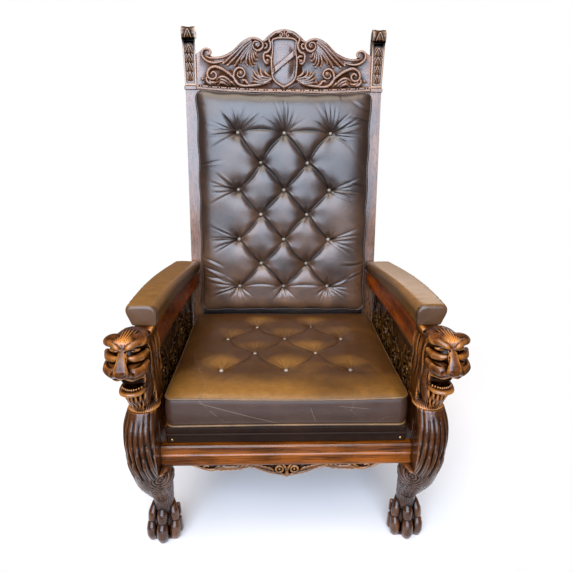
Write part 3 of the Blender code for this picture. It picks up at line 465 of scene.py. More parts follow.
def run_through(points, steps=4):
    """A smooth run of points through the given ones (Catmull-Rom)."""
    points = [np.array(p, float) for p in points]
    ends = [2 * points[0] - points[1], *points, 2 * points[-1] - points[-2]]
    run = []
    for a, b, c, d in zip(ends, ends[1:], ends[2:], ends[3:]):
        for k in range(steps):
            t = k / steps
            bend = 2 * a - 5 * b + 4 * c - d
            twist = 3 * (b - c) + d - a
            run.append(b + (c - a) * (t / 2) + bend * (t * t / 2) + twist * (t**3 / 2))
    run.append(points[-1])
    return run


def spread(values, count):
    """The values stretched or squeezed to a count, by blending neighbours."""
    return np.interp(np.linspace(0, len(values) - 1, count), range(len(values)), values)


class Clay:
    """Shapes blended on a grid of distances, then skinned as one closed mesh."""

    def __init__(self, low, high, voxel):
        self.low = np.array(low, float)
        self.voxel = voxel
        size = np.ceil((np.array(high) - self.low) / voxel).astype(int) + 1
        self.field = np.full(size, 1.0, np.float32)
        self.shaded = []

    def window(self, low, high):
        """The cells inside a box, and the coordinates of their rows, columns and layers."""
        first = np.maximum(np.floor((np.array(low) - self.low) / self.voxel).astype(int), 0)
        last = np.minimum(np.ceil((np.array(high) - self.low) / self.voxel).astype(int) + 1,
                          self.field.shape)
        where = tuple(slice(a, max(a, b)) for a, b in zip(first, last))
        axes = [self.low[i] + self.voxel * np.arange(where[i].start, where[i].stop) for i in range(3)]
        return where, np.ix_(*(axis.astype(np.float32) for axis in axes))

    def put(self, where, distance, blend, cut):
        """Adds a shape to the cells or cuts it out of them."""
        old = self.field[where]
        if cut:
            self.field[where] = -smooth_min(-old, distance, blend)
        else:
            self.field[where] = smooth_min(old, distance, blend)

    def ball(self, at, size, turn=(0, 0, 0), blend=0.003, cut=False):
        """An egg with three half-sizes, turned by three angles in degrees."""
        reach = max(size) + blend + 3 * self.voxel
        where, (x, y, z) = self.window(np.array(at) - reach, np.array(at) + reach)
        back = np.array(Euler([math.radians(a) for a in turn]).to_matrix().transposed())
        x, y, z = x - at[0], y - at[1], z - at[2]
        local = [(back[i][0] * x + back[i][1] * y + back[i][2] * z) / size[i] for i in range(3)]
        far = np.sqrt(local[0] ** 2 + local[1] ** 2 + local[2] ** 2)
        slope = np.sqrt(sum((local[i] / size[i]) ** 2 for i in range(3))) + 1e-9
        self.put(where, far * (far - 1) / slope, blend, cut)

    def strand(self, points, radii, blend=0.003, cut=False, steps=4, stretch=(1, 1, 1)):
        """A tapering rod through the points; stretch squeezes its section along the axes."""
        run = run_through(points, steps) if steps > 1 else [np.array(p, float) for p in points]
        widths = spread(radii, len(run))
        stretch = np.array(stretch, float)
        pad = max(widths) * stretch.max() + blend + 3 * self.voxel
        where, _ = self.window(np.min(run, axis=0) - pad, np.max(run, axis=0) + pad)
        best = np.full(self.field[where].shape, 1.0, np.float32)
        for a, b, ra, rb in zip(run, run[1:], widths, widths[1:]):
            inner, (x, y, z) = self.window(np.minimum(a, b) - pad, np.maximum(a, b) + pad)
            local = tuple(slice(s.start - w.start, s.stop - w.start) for s, w in zip(inner, where))
            if 0 in best[local].shape:
                continue
            along = (b - a) / stretch
            length = max(float(along @ along), 1e-12)
            px, py, pz = (x - a[0]) / stretch[0], (y - a[1]) / stretch[1], (z - a[2]) / stretch[2]
            t = np.clip((px * along[0] + py * along[1] + pz * along[2]) / length, 0, 1)
            far = np.sqrt((px - t * along[0]) ** 2 + (py - t * along[1]) ** 2 + (pz - t * along[2]) ** 2)
            best[local] = np.minimum(best[local], far - (ra + (rb - ra) * t))
        self.put(where, best * float(stretch.min()), blend, cut)

    def groove(self, points, radii, blend=0.0015, **more):
        """A strand that is cut out."""
        self.strand(points, radii, blend=blend, cut=True, **more)

    def block(self, low, high, edge=0.001, blend=0.002, cut=False):
        """A box between two corners, with its edges rounded."""
        low, high = np.array(low, float), np.array(high, float)
        pad = blend + 3 * self.voxel
        where, axes = self.window(low - pad, high + pad)
        outs = [np.maximum(low[i] + edge - axes[i], axes[i] - high[i] + edge) for i in range(3)]
        outside = np.sqrt(sum(np.maximum(out, 0) ** 2 for out in outs))
        inside = np.minimum(np.maximum(np.maximum(outs[0], outs[1]), outs[2]), 0)
        self.put(where, outside + inside - edge, blend, cut)

    def board(self, outline, low, high, edge=0.001, blend=0.001, cut=False):
        """A board with an outline of (x, z) points, from one depth to another along y."""
        xs = self.low[0] + self.voxel * np.arange(self.field.shape[0])
        zs = self.low[2] + self.voxel * np.arange(self.field.shape[2])
        x, z = np.meshgrid(xs, zs, indexing="ij")
        far = np.full(x.shape, 9.0)
        inside = np.zeros(x.shape, bool)
        for (x1, z1), (x2, z2) in zip(outline, outline[1:] + outline[:1]):
            dx, dz = x2 - x1, z2 - z1
            t = np.clip(((x - x1) * dx + (z - z1) * dz) / max(dx * dx + dz * dz, 1e-12), 0, 1)
            far = np.minimum(far, np.hypot(x - x1 - t * dx, z - z1 - t * dz))
            if z1 != z2:
                inside ^= ((z1 > z) != (z2 > z)) & (x < x1 + (z - z1) / dz * dx)
        flat = np.where(inside, -far, far).astype(np.float32)[:, None, :] + edge
        far_side = self.low + self.voxel * np.array(self.field.shape) * (1, 0, 1)
        where, (_, y, _) = self.window(self.low + (0, low - self.low[1] - 0.01, 0),
                                       far_side + (0, high - self.low[1] + 0.01, 0))
        depth = np.maximum(low + edge - y, y - high + edge)
        outside = np.sqrt(np.maximum(flat, 0) ** 2 + np.maximum(depth, 0) ** 2)
        self.put(where, outside + np.minimum(np.maximum(flat, depth), 0) - edge, blend, cut)

    def sink(self, low, high, pattern, depth, fade):
        """Sinks the skin by a pattern of (x, y, z), from 0 to 1, that fades out at the sides of the box."""
        where, axes = self.window(low, high)
        near = [np.clip(np.minimum(axes[i] - low[i], high[i] - axes[i]) / fade, 0, 1) for i in range(3)]
        self.field[where] += (depth * near[0] * near[1] * near[2] * pattern(*axes)).astype(np.float32)

    def comb(self, low, high, across, depth, fade=0.006):
        """Cuts fine grooves where across(x, y, z) is a whole number."""
        def grooves(x, y, z):
            return (1 - np.abs(np.sin(np.pi * across(x, y, z)))) ** 2

        self.sink(low, high, grooves, depth, fade)

    def pit(self, low, high, depth, step, fade=0.008):
        """Punches small round pits all over the box, in rows that lie a step apart."""
        def pits(x, y, z):
            a = np.sin(np.pi * (x + 0.6 * z + 0.002 * np.sin(z * 400)) / step)
            b = np.sin(np.pi * (z - 0.3 * x + 0.5 * y + 0.002 * np.sin(x * 500)) / step)
            return np.clip(np.abs(a * b) * 2.2 - 1.1, 0, 1)

        self.sink(low, high, pits, depth, fade)

    def paint_shade(self, low, high, amount):
        """Lowers the relief inside a box, so that the wood is painted darker there, as painted shade."""
        self.shaded.append((self.window(low, high)[0], amount))

    def clip(self, axis, at, keep_above):
        """Cuts the clay flat across an axis."""
        where, axes = self.window(self.low, self.low + self.voxel * np.array(self.field.shape))
        over = (axes[axis] - at) * (-1 if keep_above else 1)
        self.field = np.maximum(self.field, np.broadcast_to(over, self.field.shape).astype(np.float32))

    def relief(self):
        """How far each place stands out: 0.5 on a flat face, less in a recess, more on a ridge."""
        filled = np.clip(0.5 - self.field / (2 * self.voxel), 0, 1)
        total = np.zeros_like(filled)
        for reach, share in ((0.0032, 0.55), (0.0085, 0.45)):
            steps = max(int(round(reach / self.voxel)), 1)
            total += share * (1 - blurred(filled, steps))
        # boxes of painted shade lower the relief
        for where, amount in self.shaded:
            total[where] -= amount
        return total

    def mesh(self, triangles, place=None):
        """The clay's skin as a closed mesh, with how far each point stands out stored as "relief"."""
        grid = openvdb.FloatGrid(1.0)
        grid.copyFromArray(np.clip(self.field / self.voxel, -4, 4).astype(np.float32))
        points, threes, fours = grid.convertToPolygons(0.0, adaptivity=0.0)
        points = points * self.voxel + self.low
        loops = np.concatenate([fours[:, ::-1].ravel(), threes[:, ::-1].ravel()]).astype(np.int32)
        starts = np.concatenate([np.arange(len(fours)) * 4, len(fours) * 4 + np.arange(len(threes)) * 3])
        mesh = bpy.data.meshes.new("clay")
        mesh.vertices.add(len(points))
        mesh.vertices.foreach_set("co", points.astype(np.float32).ravel())
        mesh.loops.add(len(loops))
        mesh.loops.foreach_set("vertex_index", loops)
        mesh.polygons.add(len(starts))
        mesh.polygons.foreach_set("loop_start", starts.astype(np.int32))
        mesh.update(calc_edges=True)
        mesh.validate()
        mesh = largest_body(thinned(mesh, triangles))
        mark(mesh, "relief", blended(self.relief(), (places_of(mesh) - self.low) / self.voxel))
        mesh.shade_smooth()
        if place:
            mesh.transform(place)
        return mesh


def carver(clay, side, usual_out=0, usual_blend=1.2, usual_flat=1.0):
    """Ways to lay strands and knobs on one side of an upright face, with every size in millimetres.

    Points are (x, z). A strand's out says how far it lies out of the face, as one number or a tuple of
    numbers along its length.
    """
    def strand(points, radii, out=usual_out, blend=usual_blend, cut=False, flat=usual_flat):
        depths = [o / 1000 for o in (out if isinstance(out, tuple) else (out, out))]
        outs = np.interp(np.linspace(0, 1, len(points)), np.linspace(0, 1, len(depths)), depths)
        run = [(side * x / 1000, -o, z / 1000) for (x, z), o in zip(points, outs)]
        clay.strand(run, [r / 1000 for r in radii], blend=blend / 1000, cut=cut, stretch=(1, flat, 1))

    def knob(x, z, out, size, blend=1.0, cut=False):
        at = (side * x / 1000, -out / 1000, z / 1000)
        clay.ball(at, [half / 1000 for half in size], blend=blend / 1000, cut=cut)

    return strand, knob

# --- Cushions -------------------------------------------------------------------------------------

SEAT_HALF, SEAT_DEPTH = 0.319, 0.600
BACK_RIM = 0.051  # how far the rim of the back cushion's face stands off the back panel
DECK_TOP, SEAT_TOP = 0.382, 0.480
BACK_HALF = 0.291
BACK_LOW, BACK_TOP = -0.110, 0.641
BACK_ROWS = (0.000, 0.083, 0.169, 0.256, 0.340, 0.431, 0.529)  # above the lowest row of buttons
BACK_ROW_LOW = -0.021
SEAT_ROWS = (0.145, 0.254, 0.358, 0.455)  # behind the cushion's front
BACK_TRIANGLES, SEAT_TRIANGLES = 130000, 90000


def button_rows(rows, wide, narrow):
    """(name, x, place, row) of buttons in rows of three and two by turns."""
    for row, place in enumerate(rows):
        if row % 2 == 0:
            columns = (("left", -wide), ("middle", 0.0), ("right", wide))
        else:
            columns = (("left", -narrow), ("right", narrow))
        for word, x in columns:
            yield f"{row + 1}_{word}", x, place, row


BACK_BUTTONS = [(name, x, BACK_ROW_LOW + z, row)
                for name, x, z, row in button_rows(BACK_ROWS, 0.157, 0.080)]
SEAT_BUTTONS = list(button_rows(SEAT_ROWS, 0.183, 0.092))


def to_line(a, b, start, end):
    """How far each point (a, b) is from a line between two places, how far along it, and to which side."""
    da, db = end[0] - start[0], end[1] - start[1]
    length = max(math.hypot(da, db), 1e-6)
    along = ((a - start[0]) * da + (b - start[1]) * db) / length**2
    clipped = np.clip(along, 0, 1)
    away = np.hypot(a - start[0] - clipped * da, b - start[1] - clipped * db)
    side = ((a - start[0]) * db - (b - start[1]) * da) / length
    return away, along, side


class Hide:
    """Leather drawn over a padded face: how deep each point (a, b) of the face lies below full height."""

    def __init__(self, a, b):
        self.a, self.b = a, b
        self.pulled = np.zeros_like(a)
        self.creases = np.zeros_like(a)

    def near(self, points, reach):
        """The part of the grid that lies within reach of the points."""
        low, high = np.min(points, axis=0) - reach, np.max(points, axis=0) + reach
        middle_a, middle_b = (size // 2 for size in self.a.shape)
        rows = np.searchsorted(self.a[:, middle_b], (low[0], high[0]))
        columns = np.searchsorted(self.b[middle_a], (low[1], high[1]))
        return slice(*rows), slice(*columns)

    def pull(self, where, depth):
        """Blends a valley with those that are there, without adding their depths."""
        self.pulled[where] = (self.pulled[where] ** 3 + depth**3) ** (1 / 3)

    def tuft(self, at, depth, reach):
        where = self.near([at], 6 * reach)
        away = np.sqrt((self.a[where] - at[0]) ** 2 + (self.b[where] - at[1]) ** 2 + 0.004**2)
        self.pull(where, depth * np.exp(-away / reach))

    def fold(self, start, end, depth, reach, bow=0.0):
        """A valley between two buttons, with a sharp pleat along its bottom."""
        bent = (bow * (end[1] - start[1]), -bow * (end[0] - start[0]))
        middle = ((start[0] + end[0]) / 2 + bent[0], (start[1] + end[1]) / 2 + bent[1])
        where = self.near([start, middle, end], 5 * reach)
        run = run_through([start, middle, end], 3)
        a, b = self.a[where], self.b[where]
        away = np.min([to_line(a, b, one, two)[0] for one, two in zip(run, run[1:])], axis=0)
        self.pull(where, depth * np.exp(-np.sqrt(away**2 + 0.0025**2) / reach))
        self.pleat(run, 0.15 * depth, 0.0019, ends=(1.0, 1.0))

    def pleat(self, run, depth, width, ends=(1.0, 0.0)):
        """A sharp narrow groove with a rolled lip on one side, from full depth to another at its ends."""
        where = self.near(run, 6 * width)
        a, b = self.a[where], self.b[where]
        if not a.size:
            return
        best = np.full(a.shape, 9.0)
        sides, places = np.zeros_like(a), np.zeros_like(a)
        for k, (one, two) in enumerate(zip(run, run[1:])):
            away, along, side = to_line(a, b, one, two)
            closer = away < best
            best = np.where(closer, away, best)
            sides = np.where(closer, side, sides)
            places = np.where(closer, (k + np.clip(along, 0, 1)) / (len(run) - 1), places)
        strength = depth * (ends[0] + (ends[1] - ends[0]) * places**1.3)
        spread_width = width * (1 + 0.7 * places)
        groove = np.exp(-best / spread_width)
        lip = 0.55 * np.exp(-(((sides - 2.6 * spread_width) / (1.2 * spread_width)) ** 2))
        lip *= np.exp(-np.maximum(best - np.abs(sides), 0) / width)
        self.creases[where] += strength * (groove - lip)

    def crease(self, at, angle, length, depth, width, start=0.005, curl=0.0):
        """A pleat that leaves a button at an angle in degrees, bends by curl degrees and dies out."""
        run = []
        for k in range(4):
            turn = math.radians(angle + curl * k / 3)
            reach = start + (length - start) * k / 3
            run.append((at[0] + reach * math.cos(turn), at[1] + reach * math.sin(turn)))
        self.pleat(run, depth, width)

    def fan(self, at, angle, half_width, count, reach, depth, random):
        """Creases that spread from a button round a middle angle."""
        for k in range(count):
            turn = angle + half_width * ((2 * k + 1) / count - 1) + random.uniform(-5, 5)
            self.crease(at, turn, reach * random.uniform(0.6, 1.1), depth * random.uniform(0.6, 1.2),
                        random.uniform(0.0017, 0.0028), curl=random.uniform(-9, 9))


def round_corners(a, b, half_a, low_b, high_b, radius):
    """Moves the points of a rectangle's corners in, so that the rectangle's corners are round."""
    middle, half_b = (low_b + high_b) / 2, (high_b - low_b) / 2
    over_a = np.maximum(np.abs(a) - (half_a - radius), 0)
    over_b = np.maximum(np.abs(b - middle) - (half_b - radius), 0)
    far = np.hypot(over_a, over_b)
    share = np.where(far > 0, np.maximum(over_a, over_b) / np.maximum(far, 1e-9), 1)
    new_a = np.sign(a) * (np.abs(a) - over_a * (1 - share))
    new_b = middle + np.sign(b - middle) * (np.abs(b - middle) - over_b * (1 - share))
    return new_a, new_b


class Cushion:
    """A closed cushion in (a, b, n): a face over a boxed band and a flat underside.

    face(a, b) gives the face's height. band is a list of (height, outward shift) from the face's rim down,
    and rim(a, b) moves the rim's outline by (da, db).
    """

    def __init__(self, half, low, high, spacing, face, band, rim):
        self.grid_a = np.linspace(-half, half, int(2 * half / spacing) + 1)
        self.grid_b = np.linspace(low, high, int((high - low) / spacing) + 1)
        a, b = round_corners(*np.meshgrid(self.grid_a, self.grid_b, indexing="ij"), half, low, high, 0.022)
        da, db = rim(a, b)
        self.height = face(a, b)
        points = [np.stack([a + da, b + db, self.height], -1).reshape(-1, 3)]
        number = np.arange(self.height.size).reshape(self.height.shape)
        corners = [number[:-1, :-1], number[1:, :-1], number[1:, 1:], number[:-1, 1:]]
        faces = np.stack(corners, -1).reshape(-1, 4).tolist()
        ring = np.concatenate([number[:-1, 0], number[-1, :-1], number[:0:-1, -1], number[0, :0:-1]])
        self.edge = points[0][ring]
        ahead = np.roll(self.edge, -1, 0) - np.roll(self.edge, 1, 0)
        outward = np.stack([ahead[:, 1], -ahead[:, 0], np.zeros(len(ring))], -1)
        outward /= np.linalg.norm(outward, axis=1)[:, None]
        total, above = len(points[0]), ring
        for height, shift in band:
            row = self.edge + outward * shift
            row[:, 2] = height(self.edge[:, 2])
            points.append(row)
            below = total + np.arange(len(ring))
            faces += np.stack([above, below, np.roll(below, -1), np.roll(above, -1)], -1).tolist()
            total, above = total + len(ring), below
        faces.append(above[::-1].tolist())
        self.mesh = raw_mesh(np.concatenate(points), faces)

    def thin(self, triangles, shaded=1.0):
        """Thins the mesh and marks where it stands out or is folded in, for painted shade in the folds, and
        where its band is.
        """
        self.mesh = thinned(self.mesh, triangles)
        places = places_of(self.mesh)
        step_a, step_b = self.grid_a[1] - self.grid_a[0], self.grid_b[1] - self.grid_b[0]
        cell_a = (places[:, 0] - self.grid_a[0]) / step_a
        cell_b = (places[:, 1] - self.grid_b[0]) / step_b
        at = np.stack([cell_a, cell_b], -1)
        stands = np.zeros_like(self.height)
        for steps, full in ((2, 0.0010), (8, 0.0055)):
            stands += shaded * np.clip((self.height - blurred(self.height, steps)) / full, -1, 1) / 4
        below = blended(self.height, at) - places[:, 2]
        on_band = np.clip((below - 0.002) / 0.002, 0, 1)
        mark(self.mesh, "relief", 0.5 + blended(stands, at) * (1 - on_band))
        mark(self.mesh, "band", on_band)
        return places

    def piping(self, radius, height):
        """A cord along the face's rim, moved by height(rim height)."""
        run = self.edge[::3].copy()
        run[:, 2] = height(run[:, 2])
        return tube(run, radius)


def ripple(a, b, seed, size):
    """A slow, even unevenness about one unit high."""
    random = np.random.default_rng(seed)
    total = np.zeros_like(a)
    for _ in range(9):
        angle, phase = random.uniform(0, 2 * math.pi, 2)
        step = size * random.uniform(0.6, 1.6)
        total += np.sin((a * math.cos(angle) + b * math.sin(angle)) * 2 * math.pi / step + phase)
    return total / 4


def pillow(a, b, half, low, high, reach):
    """From 0 at the rim of a rectangle to 1 in its middle, with soft corners."""
    sides = (half - a, half + a, b - low, high - b)
    return math.prod(1 - np.exp(-np.maximum(side, 0) / reach) for side in sides)


def back_hide(a, b):
    """The back cushion's face: deep buttons, pleats in diamonds and creases that run out to the seams."""
    random = np.random.default_rng(7)
    hide = Hide(a, b)
    places = {(row, round(x, 3)): (x, z) for _, x, z, row in BACK_BUTTONS}
    top = len(BACK_ROWS) - 1
    for (row, x), at in places.items():
        hide.tuft(at, 0.030, 0.020)
        for (other_row, other_x), other in places.items():
            if other_row == row + 1 and abs(other_x - x) < 0.09:
                hide.fold(at, other, 0.0145, 0.0100, 0.07 * random.uniform(-1, 1))
    for row, depth in ((top, 0.0090), (0, 0.0045)):
        for x, bow in ((-0.157, -0.07), (0.0, -0.05)):
            hide.fold(places[(row, x)], places[(row, round(x + 0.157, 3))], depth, 0.0065, bow)
    for (row, x), at in places.items():
        up = (90, 56, 7, 0.115, 0.0030) if row == top else (90, 44, 6, 0.042, 0.0022)
        down = (270, 60, 7, 0.070, 0.0024) if row == 0 else (270, 34, 4, 0.030, 0.0009)
        fans = [up, down]
        if abs(x) > 0.1:
            fans.append((90 - math.copysign(90, x), 30, 6, 0.125, 0.0028))
        for fan in fans:
            hide.fan(at, *fan, random)
    # Long creases that the seams pull into the sides, by height, length and angle.
    for side, heights in ((-1, (0.055, 0.085, 0.020, 0.400)), (1, (0.030, 0.065, 0.330, 0.545, 0.575))):
        for z in heights:
            start = (side * (BACK_HALF - 0.004), z)
            angle = (180 if side > 0 else 0) + side * (22 if z < 0.2 else -18)
            hide.crease(start, angle + random.uniform(-6, 6), 0.090, 0.0026, 0.0026, start=0.0,
                        curl=random.uniform(-14, 14))
    for _ in range(70):
        edge = random.integers(4)
        if edge < 2:
            start = ((2 * edge - 1) * BACK_HALF, random.uniform(BACK_LOW, BACK_TOP))
            angle = 180 * edge
        else:
            start = (random.uniform(-BACK_HALF, BACK_HALF), BACK_TOP if edge == 2 else BACK_LOW)
            angle = 270 if edge == 2 else 90
        hide.crease(start, angle + random.uniform(-25, 25), random.uniform(0.015, 0.045),
                    random.uniform(0.0005, 0.0013), random.uniform(0.0018, 0.0030), start=0.0)
    return hide


def back_painted_light(a, b):
    """Painted light on the back's leather: paler in its lower half and below each button, with a slow
    unevenness.
    """
    low = np.clip((BACK_TOP - b) / (BACK_TOP - BACK_LOW), 0, 1)
    # painted light: paler towards the bottom
    wear_and_light = 0.10 + 0.30 * low**1.5 + 0.10 * ripple(a, b, 31, 0.16)
    for _, x, z, row in BACK_BUTTONS:
        # painted warm light below each button
        wear_and_light += 0.34 * np.exp(-(np.hypot(a - x, b - z + 0.040) / 0.030) ** 2) * (1 - row / 7)
    return np.clip(wear_and_light, 0, 1)


def back_cushion():
    def face(a, b):
        soft = pillow(a, b, BACK_HALF, BACK_LOW, BACK_TOP, 0.013)
        full = pillow(a, b, BACK_HALF, BACK_LOW, BACK_TOP, 0.045)
        hide = back_hide(a, b)
        height = BACK_RIM - 0.002 + 0.017 * soft + 0.013 * full + 0.0016 * full * ripple(a, b, 3, 0.16)
        return np.maximum(height - hide.pulled * full - hide.creases * (0.35 + 0.65 * soft), 0.028)

    def rim(a, b):
        middle = (BACK_LOW + BACK_TOP) / 2
        v = (b - middle) / (BACK_TOP - middle)
        u = a / BACK_HALF
        pull_a = -0.0035 * (1 - v**4) * np.abs(u) ** 6 * np.sign(a)
        pull_b = -0.007 * (1 - u**2) * np.maximum(v, 0) ** 6 + 0.003 * (1 - u**2) * np.maximum(-v, 0) ** 6
        wave = 0.0014 * np.sin(a * 61 + b * 47) * (np.abs(u) ** 8 + np.abs(v) ** 8)
        return pull_a + wave, pull_b + wave

    band = [(lambda rim: rim - 0.004, -0.0020), (lambda rim: rim - 0.010, -0.0020),
            (lambda rim: 0.6 * rim, -0.0010), (lambda rim: 0.25 * rim, -0.0015),
            (lambda rim: 0.10 * rim, -0.0030), (lambda rim: 0 * rim + 0.0003, -0.0090)]
    cushion = Cushion(BACK_HALF + 0.0015, BACK_LOW, BACK_TOP, 0.0015, face, band, rim)
    places = cushion.thin(BACK_TRIANGLES)
    # painted light on the back, stored in the same attribute as the seat's rubbing
    mark(cushion.mesh, "wear_and_light", back_painted_light(places[:, 0], places[:, 1]))
    piping = cushion.piping(0.0036, lambda rim: rim - 0.0015)
    stand = LEANED @ Matrix(((1, 0, 0, 0), (0, 0, -1, 0), (0, 1, 0, 0), (0, 0, 0, 1)))
    for mesh in (cushion.mesh, piping):
        mesh.transform(stand)
    obj = show("back_cushion_hide", cushion.mesh, BACK_LEATHER, "brown_leather", "back_cushion")
    show("back_cushion_piping", piping, PIPING_LEATHER, "brown_leather")


def seat_hide(a, b):
    """The seat's face: shallow buttons, curved folds between them and fine creases behind each."""
    random = np.random.default_rng(11)
    hide = Hide(a, b)
    places = {(row, round(x, 3)): (x, y) for _, x, y, row in SEAT_BUTTONS}
    for (row, x), at in places.items():
        hide.tuft(at, 0.0145, 0.023)
        for (other_row, other_x), other in places.items():
            if other_row == row + 1 and abs(other_x - x) < 0.1:
                bow = 0.16 * (1 if other_x > x else -1)
                hide.fold(at, other, 0.0042, 0.0110, bow)
        hide.fan(at, 90, 70, 7, 0.070, 0.0011, random)
        hide.fan(at, 270, 50, 4, 0.045, 0.0006, random)
    for _ in range(26):
        start = (random.uniform(-0.29, 0.29), random.uniform(0.03, 0.57))
        hide.crease(start, random.uniform(0, 360), random.uniform(0.03, 0.09),
                    random.uniform(0.0003, 0.0007), 0.0030, start=0.0, curl=random.uniform(-30, 30))
    return hide


def rubbed(places):
    """How far the seat's leather is rubbed pale: most along the front and behind each button."""
    a, b = places[:, 0], places[:, 1]
    uneven = 1 - 0.45 * np.clip(a / SEAT_HALF, 0, 1)
    wear_and_light = 0.75 * np.exp(-((np.maximum(b - 0.02, 0) / 0.095) ** 2)) * uneven
    for _, x, y, row in SEAT_BUTTONS:
        away = np.hypot(a - x, b - y)
        behind = np.clip((b - y) / np.maximum(away, 1e-4), 0, 1)
        wear_and_light += 0.62 * np.exp(-(((away - 0.045) / 0.032) ** 2)) * behind**1.5 * (1 - 0.12 * row)
    wear_and_light += 0.16 * ripple(a, b, 21, 0.20)
    return np.clip(wear_and_light, 0, 1)


def seat_cushion():
    rim_height = SEAT_TOP - DECK_TOP - 0.012

    def face(a, b):
        soft = pillow(a, b, SEAT_HALF, 0, SEAT_DEPTH, 0.016)
        full = pillow(a, b, SEAT_HALF, 0, SEAT_DEPTH, 0.045)
        hide = seat_hide(a, b)
        at_front = np.exp(-np.maximum(b, 0) / 0.12)
        sag = 0.008 * (1 - (a / SEAT_HALF) ** 2) * at_front * (1 + 0.35 * a / SEAT_HALF)
        height = rim_height + 0.009 * soft + 0.010 * full + 0.0022 * full * ripple(a, b, 5, 0.22)
        return height - hide.pulled * full - hide.creases * soft - sag

    def rim(a, b):
        v = 2 * b / SEAT_DEPTH - 1
        u = a / SEAT_HALF
        pull_a = -0.004 * (1 - v**2) * np.abs(u) ** 6 * np.sign(a)
        pull_b = -0.003 * (1 - u**2) * np.abs(v) ** 6 * np.sign(v)
        return pull_a, pull_b

    bulge = ((0.97, -0.0028), (0.92, -0.0005), (0.80, 0.0022), (0.62, 0.0040), (0.42, 0.0042),
             (0.22, 0.0024), (0.10, -0.0004), (0.05, -0.0028), (0.006, -0.0100))
    band = [(lambda rim, share=share: rim * share, shift) for share, shift in bulge]
    cushion = Cushion(SEAT_HALF - 0.004, 0.004, SEAT_DEPTH - 0.002, 0.0020, face, band, rim)
    places = cushion.thin(SEAT_TRIANGLES, 0.6)
    mark(cushion.mesh, "wear_and_light", rubbed(places))
    place = Matrix.Translation((0, FRONT, DECK_TOP + GAP))
    upper = cushion.piping(0.0029, lambda rim: rim - 0.0020)
    lower = cushion.piping(0.0029, lambda rim: 0 * rim + 0.0050)
    for mesh in (cushion.mesh, upper, lower):
        mesh.transform(place)
    obj = show("seat_cushion_hide", cushion.mesh, SEAT_LEATHER, "worn_leather", "seat_cushion")
    show("seat_cushion_piping", merged([upper, lower]), SEAT_PIPING, "worn_leather")


def button_mesh():
    """A covered button: a dome with a rolled edge, its middle on z = 0."""
    profile = [(0.0, 0.0030), (0.0022, 0.0028), (0.0042, 0.0020), (0.0056, 0.0006), (0.0060, -0.0008),
               (0.0052, -0.0026)]
    sides = 16
    turns = [2 * math.pi * k / sides for k in range(sides)]
    bm = bmesh.new()
    rings = []
    for r, z in profile[1:]:
        rings.append([bm.verts.new((r * math.cos(turn), r * math.sin(turn), z)) for turn in turns])
    top = bm.verts.new((0, 0, profile[0][1]))
    for k in range(sides):
        m = (k + 1) % sides
        bm.faces.new((top, rings[0][k], rings[0][m]))
        for one, two in zip(rings, rings[1:]):
            bm.faces.new((one[k], two[k], two[m], one[m]))
    bm.faces.new(reversed(rings[-1]))
    mesh = bpy.data.meshes.new("button")
    bm.to_mesh(mesh)
    bm.free()
    mesh.shade_smooth()
    return mesh


def buttons():
    facing = Euler((math.pi / 2, 0, 0)).to_matrix().to_4x4()
    for name, x, z, _ in BACK_BUTTONS:
        mesh = button_mesh()
        mesh.transform(LEANED @ Matrix.Translation((x, -0.0560, z)) @ facing)
        show("back_tuft_" + name, mesh, BUTTON_LEATHER, "button_leather", "back_button_" + name)
    for name, x, y, _ in SEAT_BUTTONS:
        mesh = button_mesh()
        mesh.transform(Matrix.Translation((x, FRONT + y, SEAT_TOP - 0.0055)))
        show("seat_tuft_" + name, mesh, BUTTON_LEATHER, "button_leather", "seat_button_" + name)


back_cushion()
seat_cushion()
buttons()

# --- Arm pads -------------------------------------------------------------------------------------

ARM_BOTTOM = 0.577
HEAD_TOP = 0.664
PAD_FRONT = FRONT + 0.016
PAD_REAR = BACK_Y + (0.64 - BACK_Z) * math.tan(LEAN) - 0.004
PAD_INNER_FRONT, PAD_INNER_REAR = 0.317, 0.302
PAD_OUTER_FRONT, PAD_OUTER_REAR = 0.401, 0.404
PAD_TOP_FRONT, PAD_TOP_REAR = 0.716, 0.662
PAD_LOW_REAR = 0.625
PAD_UNDERCUT = 0.018  # how far in the outer side's lower edge lies
PAD_ROLL = 0.010  # how far the leather rolls over at each end


def slope(front, rear, t):
    """From front to rear with a slow start, as the arms curve."""
    return front + (rear - front) * t * t * (1.6 - 0.6 * t)


def rounded_section(corners, arc=9, edge=7):
    """Points round a polygon of (x, z, radius) corners, with an arc at each corner."""
    points = []
    count = len(corners)
    for k, (x, z, radius) in enumerate(corners):
        here = np.array((x, z))
        back = np.array(corners[k - 1][:2]) - here
        ahead = np.array(corners[(k + 1) % count][:2]) - here
        back, ahead = back / np.linalg.norm(back), ahead / np.linalg.norm(ahead)
        half = 0.5 * math.acos(np.clip(back @ ahead, -1, 1))
        first, last = here + back * radius / math.tan(half), here + ahead * radius / math.tan(half)
        middle = here + (back + ahead) / np.linalg.norm(back + ahead) * radius / math.sin(half)
        if points:
            points += [points[-1] + (first - points[-1]) * j / (edge + 1) for j in range(1, edge + 1)]
        one, two = first - middle, last - middle
        swept = math.pi - 2 * half
        for j in range(arc):
            share = j / (arc - 1)
            spoke = one * math.sin((1 - share) * swept) + two * math.sin(share * swept)
            points.append(middle + spoke / math.sin(swept))
    points += [points[-1] + (points[0] - points[-1]) * j / (edge + 1) for j in range(1, edge + 1)]
    return np.array(points)


